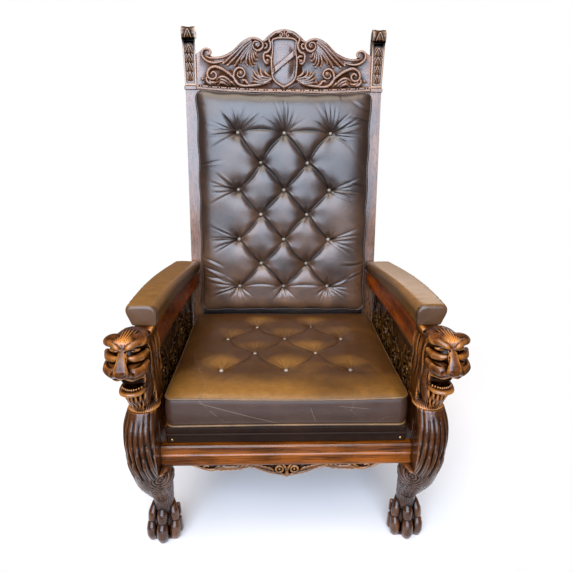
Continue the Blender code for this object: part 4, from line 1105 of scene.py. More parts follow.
def pad_rings():
    """Sections of the pad from front to rear, as an array of rings of points."""
    steps = [PAD_ROLL * (1 - math.cos(math.pi / 2 * k / 6)) for k in range(7)]
    length = PAD_REAR - PAD_FRONT
    between = np.linspace(PAD_ROLL, length - PAD_ROLL, 62)[1:-1]
    ways = [*steps, *between, *(length - step for step in reversed(steps))]
    rings = []
    for way in ways:
        t = way / length
        near_end = max(PAD_ROLL - min(way, length - way), 0.0)
        inset = PAD_ROLL - math.sqrt(PAD_ROLL**2 - near_end**2)
        inner = slope(PAD_INNER_FRONT, PAD_INNER_REAR, t) + 0.35 * inset
        outer = slope(PAD_OUTER_FRONT, PAD_OUTER_REAR, t) + 0.007 * math.sin(math.pi * t) - 0.35 * inset
        top = slope(PAD_TOP_FRONT, PAD_TOP_REAR, t) - inset
        low = slope(HEAD_TOP + GAP, PAD_LOW_REAR, t) + 0.1 * inset
        soft = 0.020 - 0.004 * t
        ring = rounded_section([(inner + 0.003, low, 0.006), (inner, top, soft), (outer, top, 0.012),
                                (outer - PAD_UNDERCUT, low, 0.006)])
        share = np.clip((ring[:, 0] - inner) / (outer - inner), 0, 1)
        crown = 0.0022 * np.sin(math.pi * share) * np.clip((ring[:, 1] - top + 0.02) / 0.02, 0, 1)
        rings.append(np.stack([ring[:, 0], np.full(len(ring), PAD_FRONT + way), ring[:, 1] + crown], -1))
    return np.array(rings)


def wrinkled(rings):
    """The rings drawn in a little, by an uneven amount."""
    x, y = rings[..., 0], rings[..., 1]
    wrinkle = 0.0007 * np.sin(y * 210 + 9 * np.sin(x * 60)) * np.sin(y * 23 + 1.0) ** 2
    away = rings - rings.mean(axis=1, keepdims=True)
    away[..., 1] = 0
    far = np.maximum(np.linalg.norm(away, axis=-1, keepdims=True), 1e-6)
    return rings + away / far * (wrinkle - 0.0007)[..., None]


def arm_pad():
    """A padded armrest: square at its outer side, softly rolled at its inner side and over its front."""
    rings = wrinkled(pad_rings())
    count, sides = rings.shape[:2]
    points = rings.reshape(-1, 3)
    number = np.arange(count * sides).reshape(count, sides)
    following = np.roll(number, -1, 1)
    faces = np.stack([number[:-1], following[:-1], following[1:], number[1:]], -1).reshape(-1, 4).tolist()
    for ring, out, turn in ((number[0], -0.0016, 1), (number[-1], 0.0010, -1)):
        above = ring
        centre = points[ring].mean(axis=0)
        for share in (0.85, 0.6, 0.3):
            row = centre + (points[ring] - centre) * share
            row[:, 1] += out * (1 - share**2)
            below = len(points) + np.arange(sides)
            points = np.concatenate([points, row])
            cells = np.stack([above, below, np.roll(below, -1), np.roll(above, -1)], -1)
            faces += (cells if turn > 0 else cells[:, ::-1]).tolist()
            above = below
        faces.append((above[::-1] if turn > 0 else above).tolist())
    mesh = raw_mesh(points, faces)
    mesh.shade_smooth()
    places = places_of(mesh)
    front = np.clip(1 - (places[:, 1] - PAD_FRONT - 0.002) / 0.008, 0, 1)
    side = np.clip((0.325 - places[:, 0]) / 0.012, 0, 1) * np.clip((0.705 - places[:, 2]) / 0.012, 0, 1)
    mark(mesh, "band", np.maximum(front, 0.8 * side))
    mark(mesh, "wear_and_light", 0.35 + 0.45 * np.clip((places[:, 2] - 0.645) / 0.02, 0, 1) * (1 - front))
    mark(mesh, "relief", np.full(len(places), 0.55))
    return mesh


def arm_seam():
    """The sewn edge of the leather flap that covers the pad's front, at its inner end."""
    x, y = 0.3185, PAD_FRONT + 0.0065
    run = [(x + 0.0030, y, HEAD_TOP + 0.006), (x + 0.0004, y, 0.680), (x - 0.0006, y, 0.694),
           (x + 0.0045, y, 0.7085), (x + 0.0120, y, 0.7140)]
    return tube(run_through(run, 3), 0.0015, closed=False, turn=(0, 1, 0))


for pad in both_sides("arm_pad", arm_pad(), ARM_LEATHER, "worn_leather", ending="_hide"):
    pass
both_sides("arm_pad", arm_seam(), PIPING_LEATHER, "worn_leather", replace=False, ending="_seam")

# --- Lion heads -----------------------------------------------------------------------------------

HEAD_X = 0.375  # the middle of a lion's face
LEG_BLOCK_IN, LEG_BLOCK_OUT, LEG_BLOCK_DEPTH = 0.33, 0.376, 0.06
HEAD_BACK = FRONT + LEG_BLOCK_DEPTH
LEG_TOP = 0.455


def at(dx, y, z):
    """A place on the right head: dx from the face's middle, y behind the seat cushion's front."""
    return (HEAD_X + dx, FRONT + y, z)


def face_side(s):
    """The same for one side of the face: s is 1 on the outer side, and -1 on the narrower inner side."""
    share = 1.0 if s > 0 else -0.93
    return lambda dx, y, z: at(dx * share - 0.002, y, z)


def head_mass(clay):
    """The post's block, with the masses of skull, mane and beard."""
    clay.block((LEG_BLOCK_IN, FRONT - 0.002, 0.44), (LEG_BLOCK_OUT, HEAD_BACK + 0.02, HEAD_TOP - 0.001),
               edge=0.002)
    clay.ball(at(-0.001, -0.034, 0.622), (0.0445, 0.054, 0.046), blend=0.006)
    clay.ball(at(-0.003, -0.022, 0.638), (0.043, 0.056, 0.035), blend=0.006)
    clay.ball(at(-0.005, -0.034, 0.565), (0.03, 0.036, 0.06), blend=0.006)
    # the mass of the mane on both sides, and of the beard
    clay.strand([at(-0.03, -0.03, 0.655), at(-0.036, -0.026, 0.6), at(-0.034, -0.022, 0.54),
                 at(-0.022, -0.012, 0.47)], [0.014, 0.016, 0.015, 0.01], blend=0.006, stretch=(0.8, 2.0, 1))
    clay.strand([at(0.026, -0.024, 0.645), at(0.028, -0.02, 0.6), at(0.012, -0.016, 0.54),
                 at(0.0, -0.01, 0.48)], [0.012, 0.013, 0.012, 0.008], blend=0.006, stretch=(0.8, 2.0, 1))
    clay.strand([at(-0.006, -0.052, 0.526), at(-0.007, -0.05, 0.505), at(-0.009, -0.038, 0.478),
                 at(-0.009, -0.022, 0.45)], [0.018, 0.015, 0.01, 0.005], blend=0.006)
    # a low mound of hair over the top of the knee
    clay.ball((0.3637, FRONT + 0.001, 0.45), (0.041, 0.041, 0.026), blend=0.008)


def head_features(clay):
    """Muzzle, cheeks, brows and eyes, one side of the face at a time."""
    for s in (-1, 1):
        on = face_side(s)
        # the pad of the muzzle, and the puffed cheek it runs into
        clay.ball(on(0.022, -0.086, 0.6), (0.0225, 0.0235, 0.016), (0, -6 * s, -14 * s), blend=0.002)
        clay.strand([on(0.011, -0.105, 0.6), on(0.024, -0.099, 0.5985), on(0.037, -0.084, 0.601),
                     on(0.0455, -0.065, 0.606)], [0.009, 0.0135, 0.015, 0.009], blend=0.003)
        # the fold under the eye
        clay.ball(on(0.031, -0.07, 0.629), (0.015, 0.016, 0.0105), (0, 0, -20 * s), blend=0.002)
        clay.strand([on(0.013, -0.096, 0.633), on(0.024, -0.09, 0.629), on(0.037, -0.078, 0.6285),
                     on(0.0465, -0.059, 0.633)], [0.0036, 0.008, 0.01, 0.007], blend=0.0015)
        # brow: a heavy round lobe that dips to the root of the nose
        clay.ball(on(0.028, -0.064, 0.663), (0.023, 0.02, 0.011), (16, 4 * s, -24 * s), blend=0.002)
        clay.strand([on(0.007, -0.093, 0.652), on(0.015, -0.092, 0.658), on(0.027, -0.082, 0.662),
                     on(0.039, -0.07, 0.661), on(0.046, -0.055, 0.656)],
                    [0.0042, 0.0066, 0.0088, 0.0088, 0.0065], blend=0.0015)
        # eye
        clay.ball(on(0.024, -0.0725, 0.645), (0.012, 0.0095, 0.0056), (0, 0, -20 * s), blend=0.001)


def head_nose(clay):
    """A broad bridge that widens to a round tip."""
    nose = [at(-0.002, -0.084, 0.656), at(-0.002, -0.098, 0.642), at(-0.001, -0.112, 0.625),
            at(-0.001, -0.119, 0.609)]
    for dx in (-0.0045, 0, 0.0045):
        wide = [(x + dx * (0.5 + 0.4 * i), y, z) for i, (x, y, z) in enumerate(nose)]
        clay.strand(wide, [0.006, 0.0068, 0.0078, 0.0095], blend=0.003, stretch=(1.0, 0.7, 1.0))
    clay.ball(at(-0.001, -0.112, 0.602), (0.0195, 0.0135, 0.012), blend=0.003)


def head_creases(clay):
    """The cuts and thin folds round the eyes, the nose and the lips."""
    for s in (-1, 1):
        on = face_side(s)
        clay.ball(on(0.0165, -0.108, 0.599), (0.0088, 0.01, 0.008), blend=0.002)
        # the dark of the eye socket, above the eye and below it
        clay.groove([on(0.008, -0.0975, 0.647), on(0.017, -0.093, 0.6505), on(0.029, -0.085, 0.6515),
                     on(0.044, -0.067, 0.6475)], [0.0032, 0.0036, 0.0034, 0.0024], blend=0.001)
        clay.groove([on(0.009, -0.099, 0.641), on(0.018, -0.094, 0.6395), on(0.03, -0.086, 0.6395),
                     on(0.044, -0.068, 0.643)], [0.003, 0.0028, 0.0024, 0.0016], blend=0.001)
        # lids
        clay.strand([on(0.0135, -0.0795, 0.646), on(0.018, -0.0812, 0.6488), on(0.0265, -0.08, 0.6492),
                     on(0.0345, -0.0735, 0.6465)], [0.0012, 0.0016, 0.0016, 0.0012], blend=0.0015)
        clay.strand([on(0.0135, -0.0795, 0.6448), on(0.018, -0.0812, 0.6424), on(0.0265, -0.08, 0.642),
                     on(0.0345, -0.0735, 0.6448)], [0.001, 0.0014, 0.0014, 0.001], blend=0.0015)
        clay.groove([on(0.0215, -0.083, 0.6456), on(0.0222, -0.0835, 0.6456)], [0.0016, 0.0016],
                    blend=0.0006)
        # crease between the fold and the muzzle
        clay.groove([on(0.016, -0.109, 0.623), on(0.025, -0.104, 0.6165), on(0.037, -0.093, 0.615),
                     on(0.0475, -0.07, 0.62)], [0.003, 0.0042, 0.004, 0.003], blend=0.002)
        # crease beside the nose
        clay.groove([on(0.009, -0.106, 0.636), on(0.0135, -0.112, 0.625), on(0.0205, -0.115, 0.613),
                     on(0.0265, -0.113, 0.6)], [0.0018, 0.003, 0.003, 0.0018], blend=0.002)
        # fine wrinkles between nose and fold
        for k in range(3):
            clay.groove([on(0.0165 + 0.002 * k, -0.108, 0.629 - 0.003 * k),
                         on(0.0225 + 0.002 * k, -0.103, 0.6235 - 0.0022 * k),
                         on(0.03 + 0.002 * k, -0.097, 0.62 - 0.0012 * k)], [0.0008, 0.0012, 0.0006],
                        blend=0.001)
        # nostril
        clay.groove([on(0.01, -0.124, 0.5935), on(0.0145, -0.12, 0.5925)], [0.0026, 0.0028], blend=0.001)
        # the lip's lower edge, and the fold that comes down beside the mouth
        clay.strand([on(0.003, -0.104, 0.587), on(0.017, -0.101, 0.5825), on(0.03, -0.088, 0.581),
                     on(0.0355, -0.074, 0.576)], [0.0034, 0.0046, 0.0046, 0.004], blend=0.002)
        if s < 0:
            clay.strand([on(0.037, -0.066, 0.578), on(0.035, -0.06, 0.56), on(0.031, -0.054, 0.542),
                         on(0.025, -0.048, 0.525)], [0.0042, 0.0044, 0.0044, 0.0034], blend=0.003)


def head_mouth(clay):
    """The split lip over an open mouth: square, with a smooth plate deep in it, painted dark as painted
    shade, and lower teeth.
    """
    clay.groove([at(-0.001, -0.114, 0.592), at(-0.001, -0.109, 0.584)], [0.0014, 0.0018])
    clay.block(at(-0.033, -0.13, 0.55), at(0.06, -0.066, 0.5735), edge=0.004, blend=0.002, cut=True)
    clay.block(at(0.014, -0.13, 0.544), at(0.06, -0.03, 0.5735), edge=0.004, blend=0.002, cut=True)
    clay.strand([at(-0.032, -0.064, 0.562), at(-0.006, -0.07, 0.562), at(0.013, -0.064, 0.562)],
                [0.006, 0.0066, 0.006], blend=0.004, stretch=(1, 0.5, 1.4))
    # painted shade inside the mouth
    clay.paint_shade(at(-0.035, -0.09, 0.548), at(0.02, -0.05, 0.574), 0.16)
    jaw = [at(-0.0305, -0.03, 0.538), at(-0.031, -0.055, 0.535), at(-0.025, -0.076, 0.5335),
           at(-0.006, -0.085, 0.533), at(0.013, -0.079, 0.5335), at(0.0205, -0.058, 0.5355),
           at(0.02, -0.034, 0.538)]
    clay.ball(at(-0.005, -0.054, 0.532), (0.027, 0.03, 0.011), blend=0.002)
    clay.strand(jaw, [0.005, 0.0062, 0.007, 0.0074, 0.007, 0.0062, 0.005], blend=0.002,
                stretch=(1, 1, 0.85))
    clay.groove([(x, y - 0.004, z - 0.006) for x, y, z in jaw[1:-1]],
                [0.0012, 0.0018, 0.0018, 0.0018, 0.0012], blend=0.001)
    for k in range(10):
        u = (k - 4.5) / 4.5
        clay.ball(at(-0.0055 + 0.0225 * u, -0.0795 + 0.014 * u * u, 0.5405), (0.0024, 0.0024, 0.0044),
                  blend=0.0008)


def head_beard(clay):
    """Fine waved locks that gather to a point."""
    for k in range(11):
        u = (k - 5) / 5
        wave = 0.0024 * (1 if k % 2 else -1)
        clay.strand([at(0.0225 * u - 0.006, -0.069 + 0.022 * u * u, 0.531),
                     at(0.0215 * u + wave - 0.006, -0.07 + 0.02 * u * u, 0.513),
                     at(0.0165 * u - wave - 0.008, -0.058 + 0.014 * u * u, 0.488),
                     at(0.008 * u + 0.5 * wave - 0.009, -0.037, 0.465),
                     at(0.003 * u - 0.009, -0.022, 0.45)], [0.0022, 0.0034, 0.0034, 0.0028, 0.0018],
                    blend=0.0012)


def head_crown(clay):
    """Fine locks over the crown, which run together between the brows."""
    for k in range(11):
        u = (k - 5) / 5
        clay.strand([at(0.013 * u - 0.002, -0.093 + 0.003 * u * u, 0.656 + 0.008 * u * u),
                     at(0.021 * u - 0.002, -0.084, 0.669),
                     at(0.03 * u - 0.003, -0.06, 0.673 - 0.008 * u * u),
                     at(0.037 * u - 0.003, -0.028, 0.6725 - 0.016 * u * u),
                     at(0.04 * u - 0.003, 0.012, 0.666 - 0.018 * u * u)],
                    [0.001, 0.0019, 0.0024, 0.0024, 0.0012], blend=0.0006)


def head_mane(clay):
    """Long locks down both sides."""
    heights = (0.664, 0.64, 0.612, 0.58, 0.545, 0.51, 0.47)
    inner = (-0.036, -0.0445, -0.048, -0.0465, -0.0445, -0.042, -0.03)
    outer = (0.018, 0.037, 0.0405, 0.032, 0.021, 0.01, 0.0)
    swings = (1, -0.4, -1, 0.5, 1, -0.6, 0)
    for side, xs in ((-1, inner), (1, outer)):
        for k in range(11):
            wave = 0.0026 * (1 if k % 2 else -1)
            lock = []
            for i, (dx, z, swing) in enumerate(zip(xs, heights, swings)):
                x = dx - side * 0.0012 * (k % 3)
                y = -0.044 + 0.0088 * k + wave * swing + 0.002 * i + 0.011 * max(i - 3, 0)
                lock.append(at(x, y, z - (0.014 if i == 0 else 0)))
            clay.strand(lock, [0.0026, 0.0036, 0.004, 0.004, 0.0037, 0.0032, 0.0018], blend=0.0012)


def head_cuts(clay):
    """Fine cuts in the mane, and hair that spreads over the knee."""
    def mane_cuts(x, y, z):
        return (y + 0.004 * np.sin(z * 120)) / 0.0042

    def spread_hair(x, y, z):
        return (np.arctan2(y - FRONT - 0.012, x - 0.366) * 0.04 + 0.0012 * np.sin(z * 300)) / 0.0046

    clay.comb(at(-0.07, -0.075, 0.46), at(-0.034, 0.07, 0.65), mane_cuts, 0.0014)
    clay.comb(at(0.02, -0.07, 0.46), at(0.06, 0.07, 0.64), mane_cuts, 0.0014)
    clay.comb((0.318, FRONT - 0.06, 0.448), (0.42, FRONT + 0.05, 0.492), spread_hair, 0.0022, fade=0.004)


def lion_head():
    """The right lion's head, with the back of its post and a flat seat for the arm pad."""
    clay = Clay((0.318, FRONT - 0.13, 0.45), (0.434, HEAD_BACK + 0.004, 0.692), 0.0012)
    for add in (head_mass, head_features, head_nose, head_creases, head_mouth, head_beard, head_crown,
                head_mane, head_cuts):
        add(clay)
    clay.clip(0, LEG_BLOCK_IN - 0.006, True)
    clay.clip(1, HEAD_BACK, False)
    clay.clip(2, LEG_TOP + GAP, True)
    clay.block((0.2, FRONT + 0.012, HEAD_TOP - 0.001), (0.5, FRONT + 0.2, 0.8), edge=0, blend=0, cut=True)
    return clay.mesh(HEAD_TRIANGLES)


both_sides("lion_head", lion_head(), CARVED_OAK, "carved_oak")

# --- Front legs -----------------------------------------------------------------------------------

RAIL_BOTTOM = 0.278
PAW_X = 0.35
TOES = ((0.3175, 0.02, 0.96), (0.35, 0.006, 1.08), (0.3815, 0.018, 0.98))  # x, place behind FRONT, size
# The middle of the right leg from its top down to the paw: (x, how far behind the cushion's front, z).
LEG_CORE = [(0.362, 0.01, 0.47), (0.367, -0.016, 0.425), (0.365, -0.028, 0.37), (0.361, -0.024, 0.31),
            (0.357, -0.008, 0.25), (0.351, 0.02, 0.2), (0.346, 0.042, 0.15), (0.348, 0.052, 0.11),
            (PAW_X, 0.056, 0.06)]


# The leaves over the knee: the turn round it in degrees, the height of the top and the length.
KNEE_LEAVES = ((-150, 0.372, 0.12), (-132, 0.352, 0.115), (-114, 0.384, 0.14), (-97, 0.35, 0.11),
               (-80, 0.366, 0.12), (-62, 0.336, 0.1), (-44, 0.352, 0.105), (-27, 0.324, 0.085),
               (-10, 0.34, 0.09))
# Places down a leaf: how many degrees it has bent inward, its share of the length and how far out it lies.
LEAF_RUN = ((-1, 0, 0.0436), (0, 0.08, 0.0452), (1, 0.28, 0.045), (6, 0.55, 0.044), (15, 0.8, 0.0415),
            (27, 1, 0.0375))


def around(turn, z, reach):
    """A place on the knee: turn in degrees from the outer side by way of the front, and how far out."""
    xs, ys, zs = zip(*LEG_CORE)
    x = np.interp(z, zs[::-1], xs[::-1])
    y = np.interp(z, zs[::-1], ys[::-1])
    t = math.radians(turn)
    return (x + reach * math.cos(t), FRONT + y + reach * math.sin(t), z)


def knee_flutes(clay):
    """Broad shallow flutes down the knee."""
    for k in range(12):
        turn = -188 + 18.0 * k
        ridge = [around(turn, 0.475, 0.026), around(turn, 0.448, 0.033), around(turn, 0.415, 0.0385),
                 around(turn, 0.375, 0.0405), around(turn - 2, 0.335, 0.0405),
                 around(turn - 9, 0.295, 0.04), around(turn - 18, 0.258, 0.0365)]
        clay.strand(ridge, [0.007, 0.0086, 0.0088, 0.0088, 0.008, 0.0064, 0.0035], blend=0.0022)


def knee_leaves(clay):
    """Slim leaves over the flutes, which run down and inward; each has a curled tip and a vein."""
    for turn, top, long in KNEE_LEAVES:
        leaf = [around(turn - bend, top - share * long, reach) for bend, share, reach in LEAF_RUN]
        clay.strand(leaf, [0.0036, 0.0056, 0.0064, 0.006, 0.0046, 0.0024], blend=0.0014)
        vein = [around(turn - 1, top - 0.14 * long, 0.052), around(turn - 5, top - 0.5 * long, 0.05),
                around(turn - 14, top - 0.8 * long, 0.0455)]
        clay.groove(vein, [0.0008, 0.0015, 0.001], blend=0.001)


def knee_hair(clay):
    """Fine cuts, as of combed hair, over the top of the knee and down its front."""
    def streaks(x, y, z):
        return (np.arctan2(y - FRONT + 0.02, x - 0.364) * 0.047 + 0.0016 * np.sin(z * 90)) / 0.0046

    clay.comb((0.3, FRONT - 0.08, 0.418), (0.42, FRONT + 0.02, 0.47), streaks, 0.0009, fade=0.012)


def shank(clay):
    """The scroll under the rail, the pitted back, the leaf's bounding ridge and the ankle's fine cuts."""
    def rings(x, y, z):
        return np.hypot((x - 0.326) * 1.1, z - 0.262) / 0.008

    def tendons(x, y, z):
        return (np.arctan2(y - FRONT - 0.048, x - PAW_X) * 0.03 + 0.0012 * np.sin(z * 110)) / 0.0062

    clay.ball((0.326, FRONT - 0.006, 0.248), (0.0265, 0.036, 0.036), blend=0.003)
    clay.comb((0.296, FRONT - 0.07, 0.196), (0.356, FRONT + 0.05, 0.276), rings, 0.0028, fade=0.009)
    clay.pit((0.3, FRONT - 0.06, 0.14), (0.42, FRONT + 0.1, 0.24), 0.0016, 0.0088)
    clay.strand([around(-8, 0.3, 0.044), around(-30, 0.262, 0.044), around(-60, 0.232, 0.044),
                 around(-95, 0.214, 0.043), around(-130, 0.205, 0.042)],
                [0.003, 0.0042, 0.0045, 0.0042, 0.003], blend=0.0016)
    clay.comb((0.3, FRONT - 0.02, 0.092), (0.4, FRONT + 0.12, 0.185), tendons, 0.0016, fade=0.014)


def paw(clay):
    """Three toes of two knuckles, a small one on the inner side, and a pad behind."""
    clay.ball((PAW_X, FRONT + 0.052, 0.05), (0.038, 0.033, 0.048), blend=0.004)
    for x, y, size in TOES:
        inward = (PAW_X - x) * 0.26
        clay.strand([(x + inward * 1.7, FRONT + y + 0.046, 0.118),
                     (x + inward * 0.9, FRONT + y + 0.033, 0.1),
                     (x + inward * 0.4, FRONT + y + 0.023, 0.082),
                     (x + inward * 0.2, FRONT + y + 0.02, 0.066)],
                    [0.007 * size, 0.011 * size, 0.014 * size, 0.0136 * size], blend=0.001)
        clay.strand([(x, FRONT + y + 0.016, 0.05), (x, FRONT + y + 0.01, 0.038),
                     (x, FRONT + y + 0.009, 0.022), (x, FRONT + y + 0.012, 0.008)],
                    [0.0138 * size, 0.0156 * size, 0.0152 * size, 0.0124 * size], blend=0.001)
    clay.strand([(0.312, FRONT + 0.062, 0.088), (0.311, FRONT + 0.054, 0.068)], [0.007, 0.009], blend=0.001)
    clay.strand([(0.311, FRONT + 0.054, 0.046), (0.311, FRONT + 0.054, 0.012)], [0.01, 0.011], blend=0.001)
    clay.ball((PAW_X, FRONT + 0.082, 0.062), (0.013, 0.014, 0.024), blend=0.002)
    clay.block((PAW_X - 0.03, FRONT + 0.024, -0.02), (PAW_X + 0.03, FRONT + 0.074, 0.012), edge=0.004,
               blend=0.003)


def front_leg():
    """The right front leg, with rough vertical cuts on its inner face, beside the seat."""
    def rough(x, y, z):
        return (y - FRONT + 0.003 * np.sin(z * 70)) / 0.0075

    clay = Clay((0.29, FRONT - 0.082, -0.004), (0.424, FRONT + 0.098, LEG_TOP + 0.004), 0.0014)
    clay.block((LEG_BLOCK_IN, FRONT, 0.262), (LEG_BLOCK_OUT, FRONT + LEG_BLOCK_DEPTH, 0.47))
    clay.strand([(x, FRONT + y, z) for x, y, z in LEG_CORE],
                [0.03, 0.0385, 0.0405, 0.0425, 0.0455, 0.04, 0.0285, 0.027, 0.028], blend=0.004)
    for add in (knee_flutes, knee_leaves, knee_hair, shank, paw):
        add(clay)
    clay.block((0.2, -1, RAIL_BOTTOM - GAP), (LEG_BLOCK_IN, 1, 1), edge=0, blend=0, cut=True)
    clay.block((0.2, FRONT + LEG_BLOCK_DEPTH, 0.2), (0.5, 1, 1), edge=0, blend=0, cut=True)
    clay.comb((0.3, FRONT - 0.03, 0.284), (0.334, FRONT + 0.056, 0.452), rough, 0.0016, fade=0.003)
    clay.clip(2, LEG_TOP, False)
    clay.clip(2, 0.0, True)
    return clay.mesh(LEG_TRIANGLES)


both_sides("front_leg", front_leg(), LEG_OAK, "carved_oak")

# --- Crest ----------------------------------------------------------------------------------------

POST_IN = 0.297
CREST_BOTTOM, CREST_THICK = 0.6465, 0.028
CREST_HALF = POST_IN - GAP
BEAD_Z, BEAD_RISE = 0.652, 0.012  # the lower moulding's height at the middle, and its rise to the ends


def crest_outline():
    """The right half of the crest's upper edge, as points (x, z)."""
    arch = [(0.0, 0.846), (0.03, 0.8425), (0.058, 0.824), (0.071, 0.809)]
    shoulder = [(0.084, 0.813), (0.106, 0.819), (0.132, 0.808), (0.172, 0.78), (0.208, 0.7625)]
    ear = [(0.238, 0.758), (0.25, 0.764), (0.255, 0.778), (0.266, 0.785), (0.28, 0.778)]
    edge = run_through([(x, z, 0) for x, z in arch + shoulder + ear], 3)
    return [(p[0], p[1]) for p in edge] + [(CREST_HALF + 0.004, 0.764)]


def crest_shield(clay):
    """The shield's domed field, with its diagonal band."""
    field = [(-0.04, 0.812), (-0.022, 0.819), (0.022, 0.819), (0.04, 0.812), (0.036, 0.795), (0.037, 0.768),
             (0.039, 0.742), (0.037, 0.712), (0.034, 0.694), (0.022, 0.678), (0.0, 0.668), (-0.022, 0.678),
             (-0.034, 0.694), (-0.037, 0.712), (-0.039, 0.742), (-0.037, 0.768), (-0.036, 0.795)]
    clay.board(field, -0.004, 0.004, edge=0.002, blend=0.001)
    clay.ball((0, 0.014, 0.745), (0.052, 0.0235, 0.105), blend=0.002)
    clay.clip(1, CREST_THICK - 0.001, False)
    band = [(-0.0375, 0.7035), (0.0375, 0.764), (0.0375, 0.784), (-0.0375, 0.7235)]
    clay.board(band, -0.0112, -0.004, edge=0.001, blend=0.0006)


def crest_arch(clay, side):
    """Two mouldings with a hollow between, the middle's small scrolls and the strap round the shield."""
    strand, knob = carver(clay, side)
    strand([(0, 842), (18, 839), (36, 830), (50, 818), (60, 812), (70, 806), (76, 797), (73, 788),
            (64, 786), (58, 793), (61, 801), (67, 800)],
           [4.5, 4.6, 4.6, 4.2, 4, 4.2, 4.2, 3.8, 3.4, 3, 2.6, 3], 4)
    strand([(12, 835), (30, 829), (42, 818)], [3, 4, 3], 1)
    strand([(22, 833), (12, 836), (6, 830), (9, 823), (15, 825), (13, 830)], [2, 3, 3, 2.8, 2.5, 2], 6)
    strand([(17, 829), (32, 821), (43, 811)], [1.6, 2.6, 1.8], 1, cut=True)
    # strap that frames the shield, with an ear and a ball on each side
    strand([(52, 818), (50, 808), (46, 800), (47, 786), (56, 774), (66, 770), (70, 760), (67, 746),
            (60, 738), (53, 742), (52, 750)], [4, 4.6, 4.8, 4.8, 4.6, 4.4, 4.4, 4.2, 4, 3.4, 3], 6)
    knob(57, 746, 7, (6.2, 6.2, 6.2))
    strand([(60, 762), (50, 760), (44, 752), (42, 742)], [4, 4.4, 4, 3.4], 5)
    strand([(0, 818), (24, 817), (40, 810), (38, 795), (40, 770), (43, 745), (41, 715), (38, 694),
            (27, 679), (12, 669), (0, 663)], [3.4, 3.4, 3.6, 3, 3, 3.8, 4, 4.4, 4.8, 4.8, 5.6], 6)
    strand([(0, 812), (22, 812), (34, 806), (32, 790), (33, 768), (35, 742), (33, 716), (30, 699),
            (20, 686), (10, 679), (0, 675)], [1.2, 1.4, 1.4, 1.2, 1.2, 1.3, 1.4, 1.8, 2, 1.8, 2], 9.8,
           blend=0.6, cut=True)


def crest_shoulder(clay, side):
    """The edge moulding, which runs into the volute on one end and the ear's curl on the other."""
    strand, knob = carver(clay, side)
    strand([(262, 757), (250, 753), (228, 752), (204, 756), (180, 767), (161, 783), (142, 800), (120, 812),
            (101, 815), (84, 810), (73, 801), (72, 790), (80, 780), (92, 777), (103, 784), (106, 795),
            (100, 804), (90, 804), (84, 797), (89, 790)],
           [3, 4.2, 4.5, 4.2, 4.2, 4.2, 4.6, 5, 5, 4.8, 4.5, 4.4, 4.4, 4.4, 4.2, 3.8, 3.4, 3, 3, 3.4],
           (2, 4, 6, 7, 8, 9, 9))
    knob(90, 797, 6, (10.5, 4, 10.5))
    # ear
    strand([(205, 743), (229, 738), (250, 739), (268, 748), (277, 763), (273, 776), (262, 781), (250, 777),
            (247, 768), (254, 763)], [2, 3.4, 4.2, 4.4, 4.4, 4.2, 4, 3.6, 3.2, 3.6], 5)
    strand([(150, 788), (190, 757), (226, 746), (252, 750)], [5, 8, 8, 5], 0, flat=0.6)


def crest_acanthus(clay, side):
    """A swelling under the ribs, the ribs, and lobed tips that curl over."""
    strand, knob = carver(clay, side)
    strand([(104, 798), (130, 782), (152, 760), (178, 745)], [10, 15, 16, 9], 0, blend=4, flat=0.5)
    strand([(100, 788), (112, 768), (112, 745)], [9, 12, 9], 0, blend=4, flat=0.5)
    ribs = (((112, 810), (138, 794), (164, 770), (188, 750), (207, 735)),
            ((110, 805), (136, 785), (158, 761), (178, 743), (193, 729)),
            ((108, 800), (131, 777), (148, 755), (159, 741), (168, 728)),
            ((109, 794), (126, 773), (137, 757), (146, 746), (146, 738)),
            ((107, 790), (121, 770), (127, 752), (128, 740), (124, 730)),
            ((106, 786), (115, 768), (117, 750), (114, 738), (106, 727)),
            ((103, 781), (109, 766), (109, 752), (106, 742), (99, 736)),
            ((99, 777), (103, 766), (102, 756), (98, 750), (90, 748)),
            ((94, 775), (96, 768), (94, 762), (86, 760)))
    for k, rib in enumerate(ribs):
        wide = 5.2 - 0.25 * k
        strand(rib, [wide * 0.6, wide, wide * 1.05, wide, wide * 0.55], (7.5, 9, 8.5, 6, 3.5), blend=0.8)
        # each tip curls over, with a lobe on either hand
        (x1, z1), (x2, z2) = rib[-2], rib[-1]
        away = math.hypot(x2 - x1, z2 - z1)
        ux, uz = (x2 - x1) / away, (z2 - z1) / away
        knob(x2 - 1.5 * ux, z2 - 1.5 * uz, 5.2, (wide * 0.8, wide * 0.6, wide * 0.8))
        for hand in (-1, 1):
            lobe = [(x1 - 2 * ux, z1 - 2 * uz),
                    (x1 + 3.0 * ux - hand * 3.8 * uz, z1 + 3.0 * uz + hand * 3.8 * ux)]
            strand(lobe, [wide * 0.7, wide * 0.45], 4.5, blend=0.8)
    for one, two in zip(ribs, ribs[1:]):
        between = [((a[0] + b[0]) / 2, (a[1] + b[1]) / 2) for a, b in zip(one[1:-1], two[1:-1])]
        strand(between, [0.8, 1.6, 1.8], 7.8, blend=0.4, cut=True)


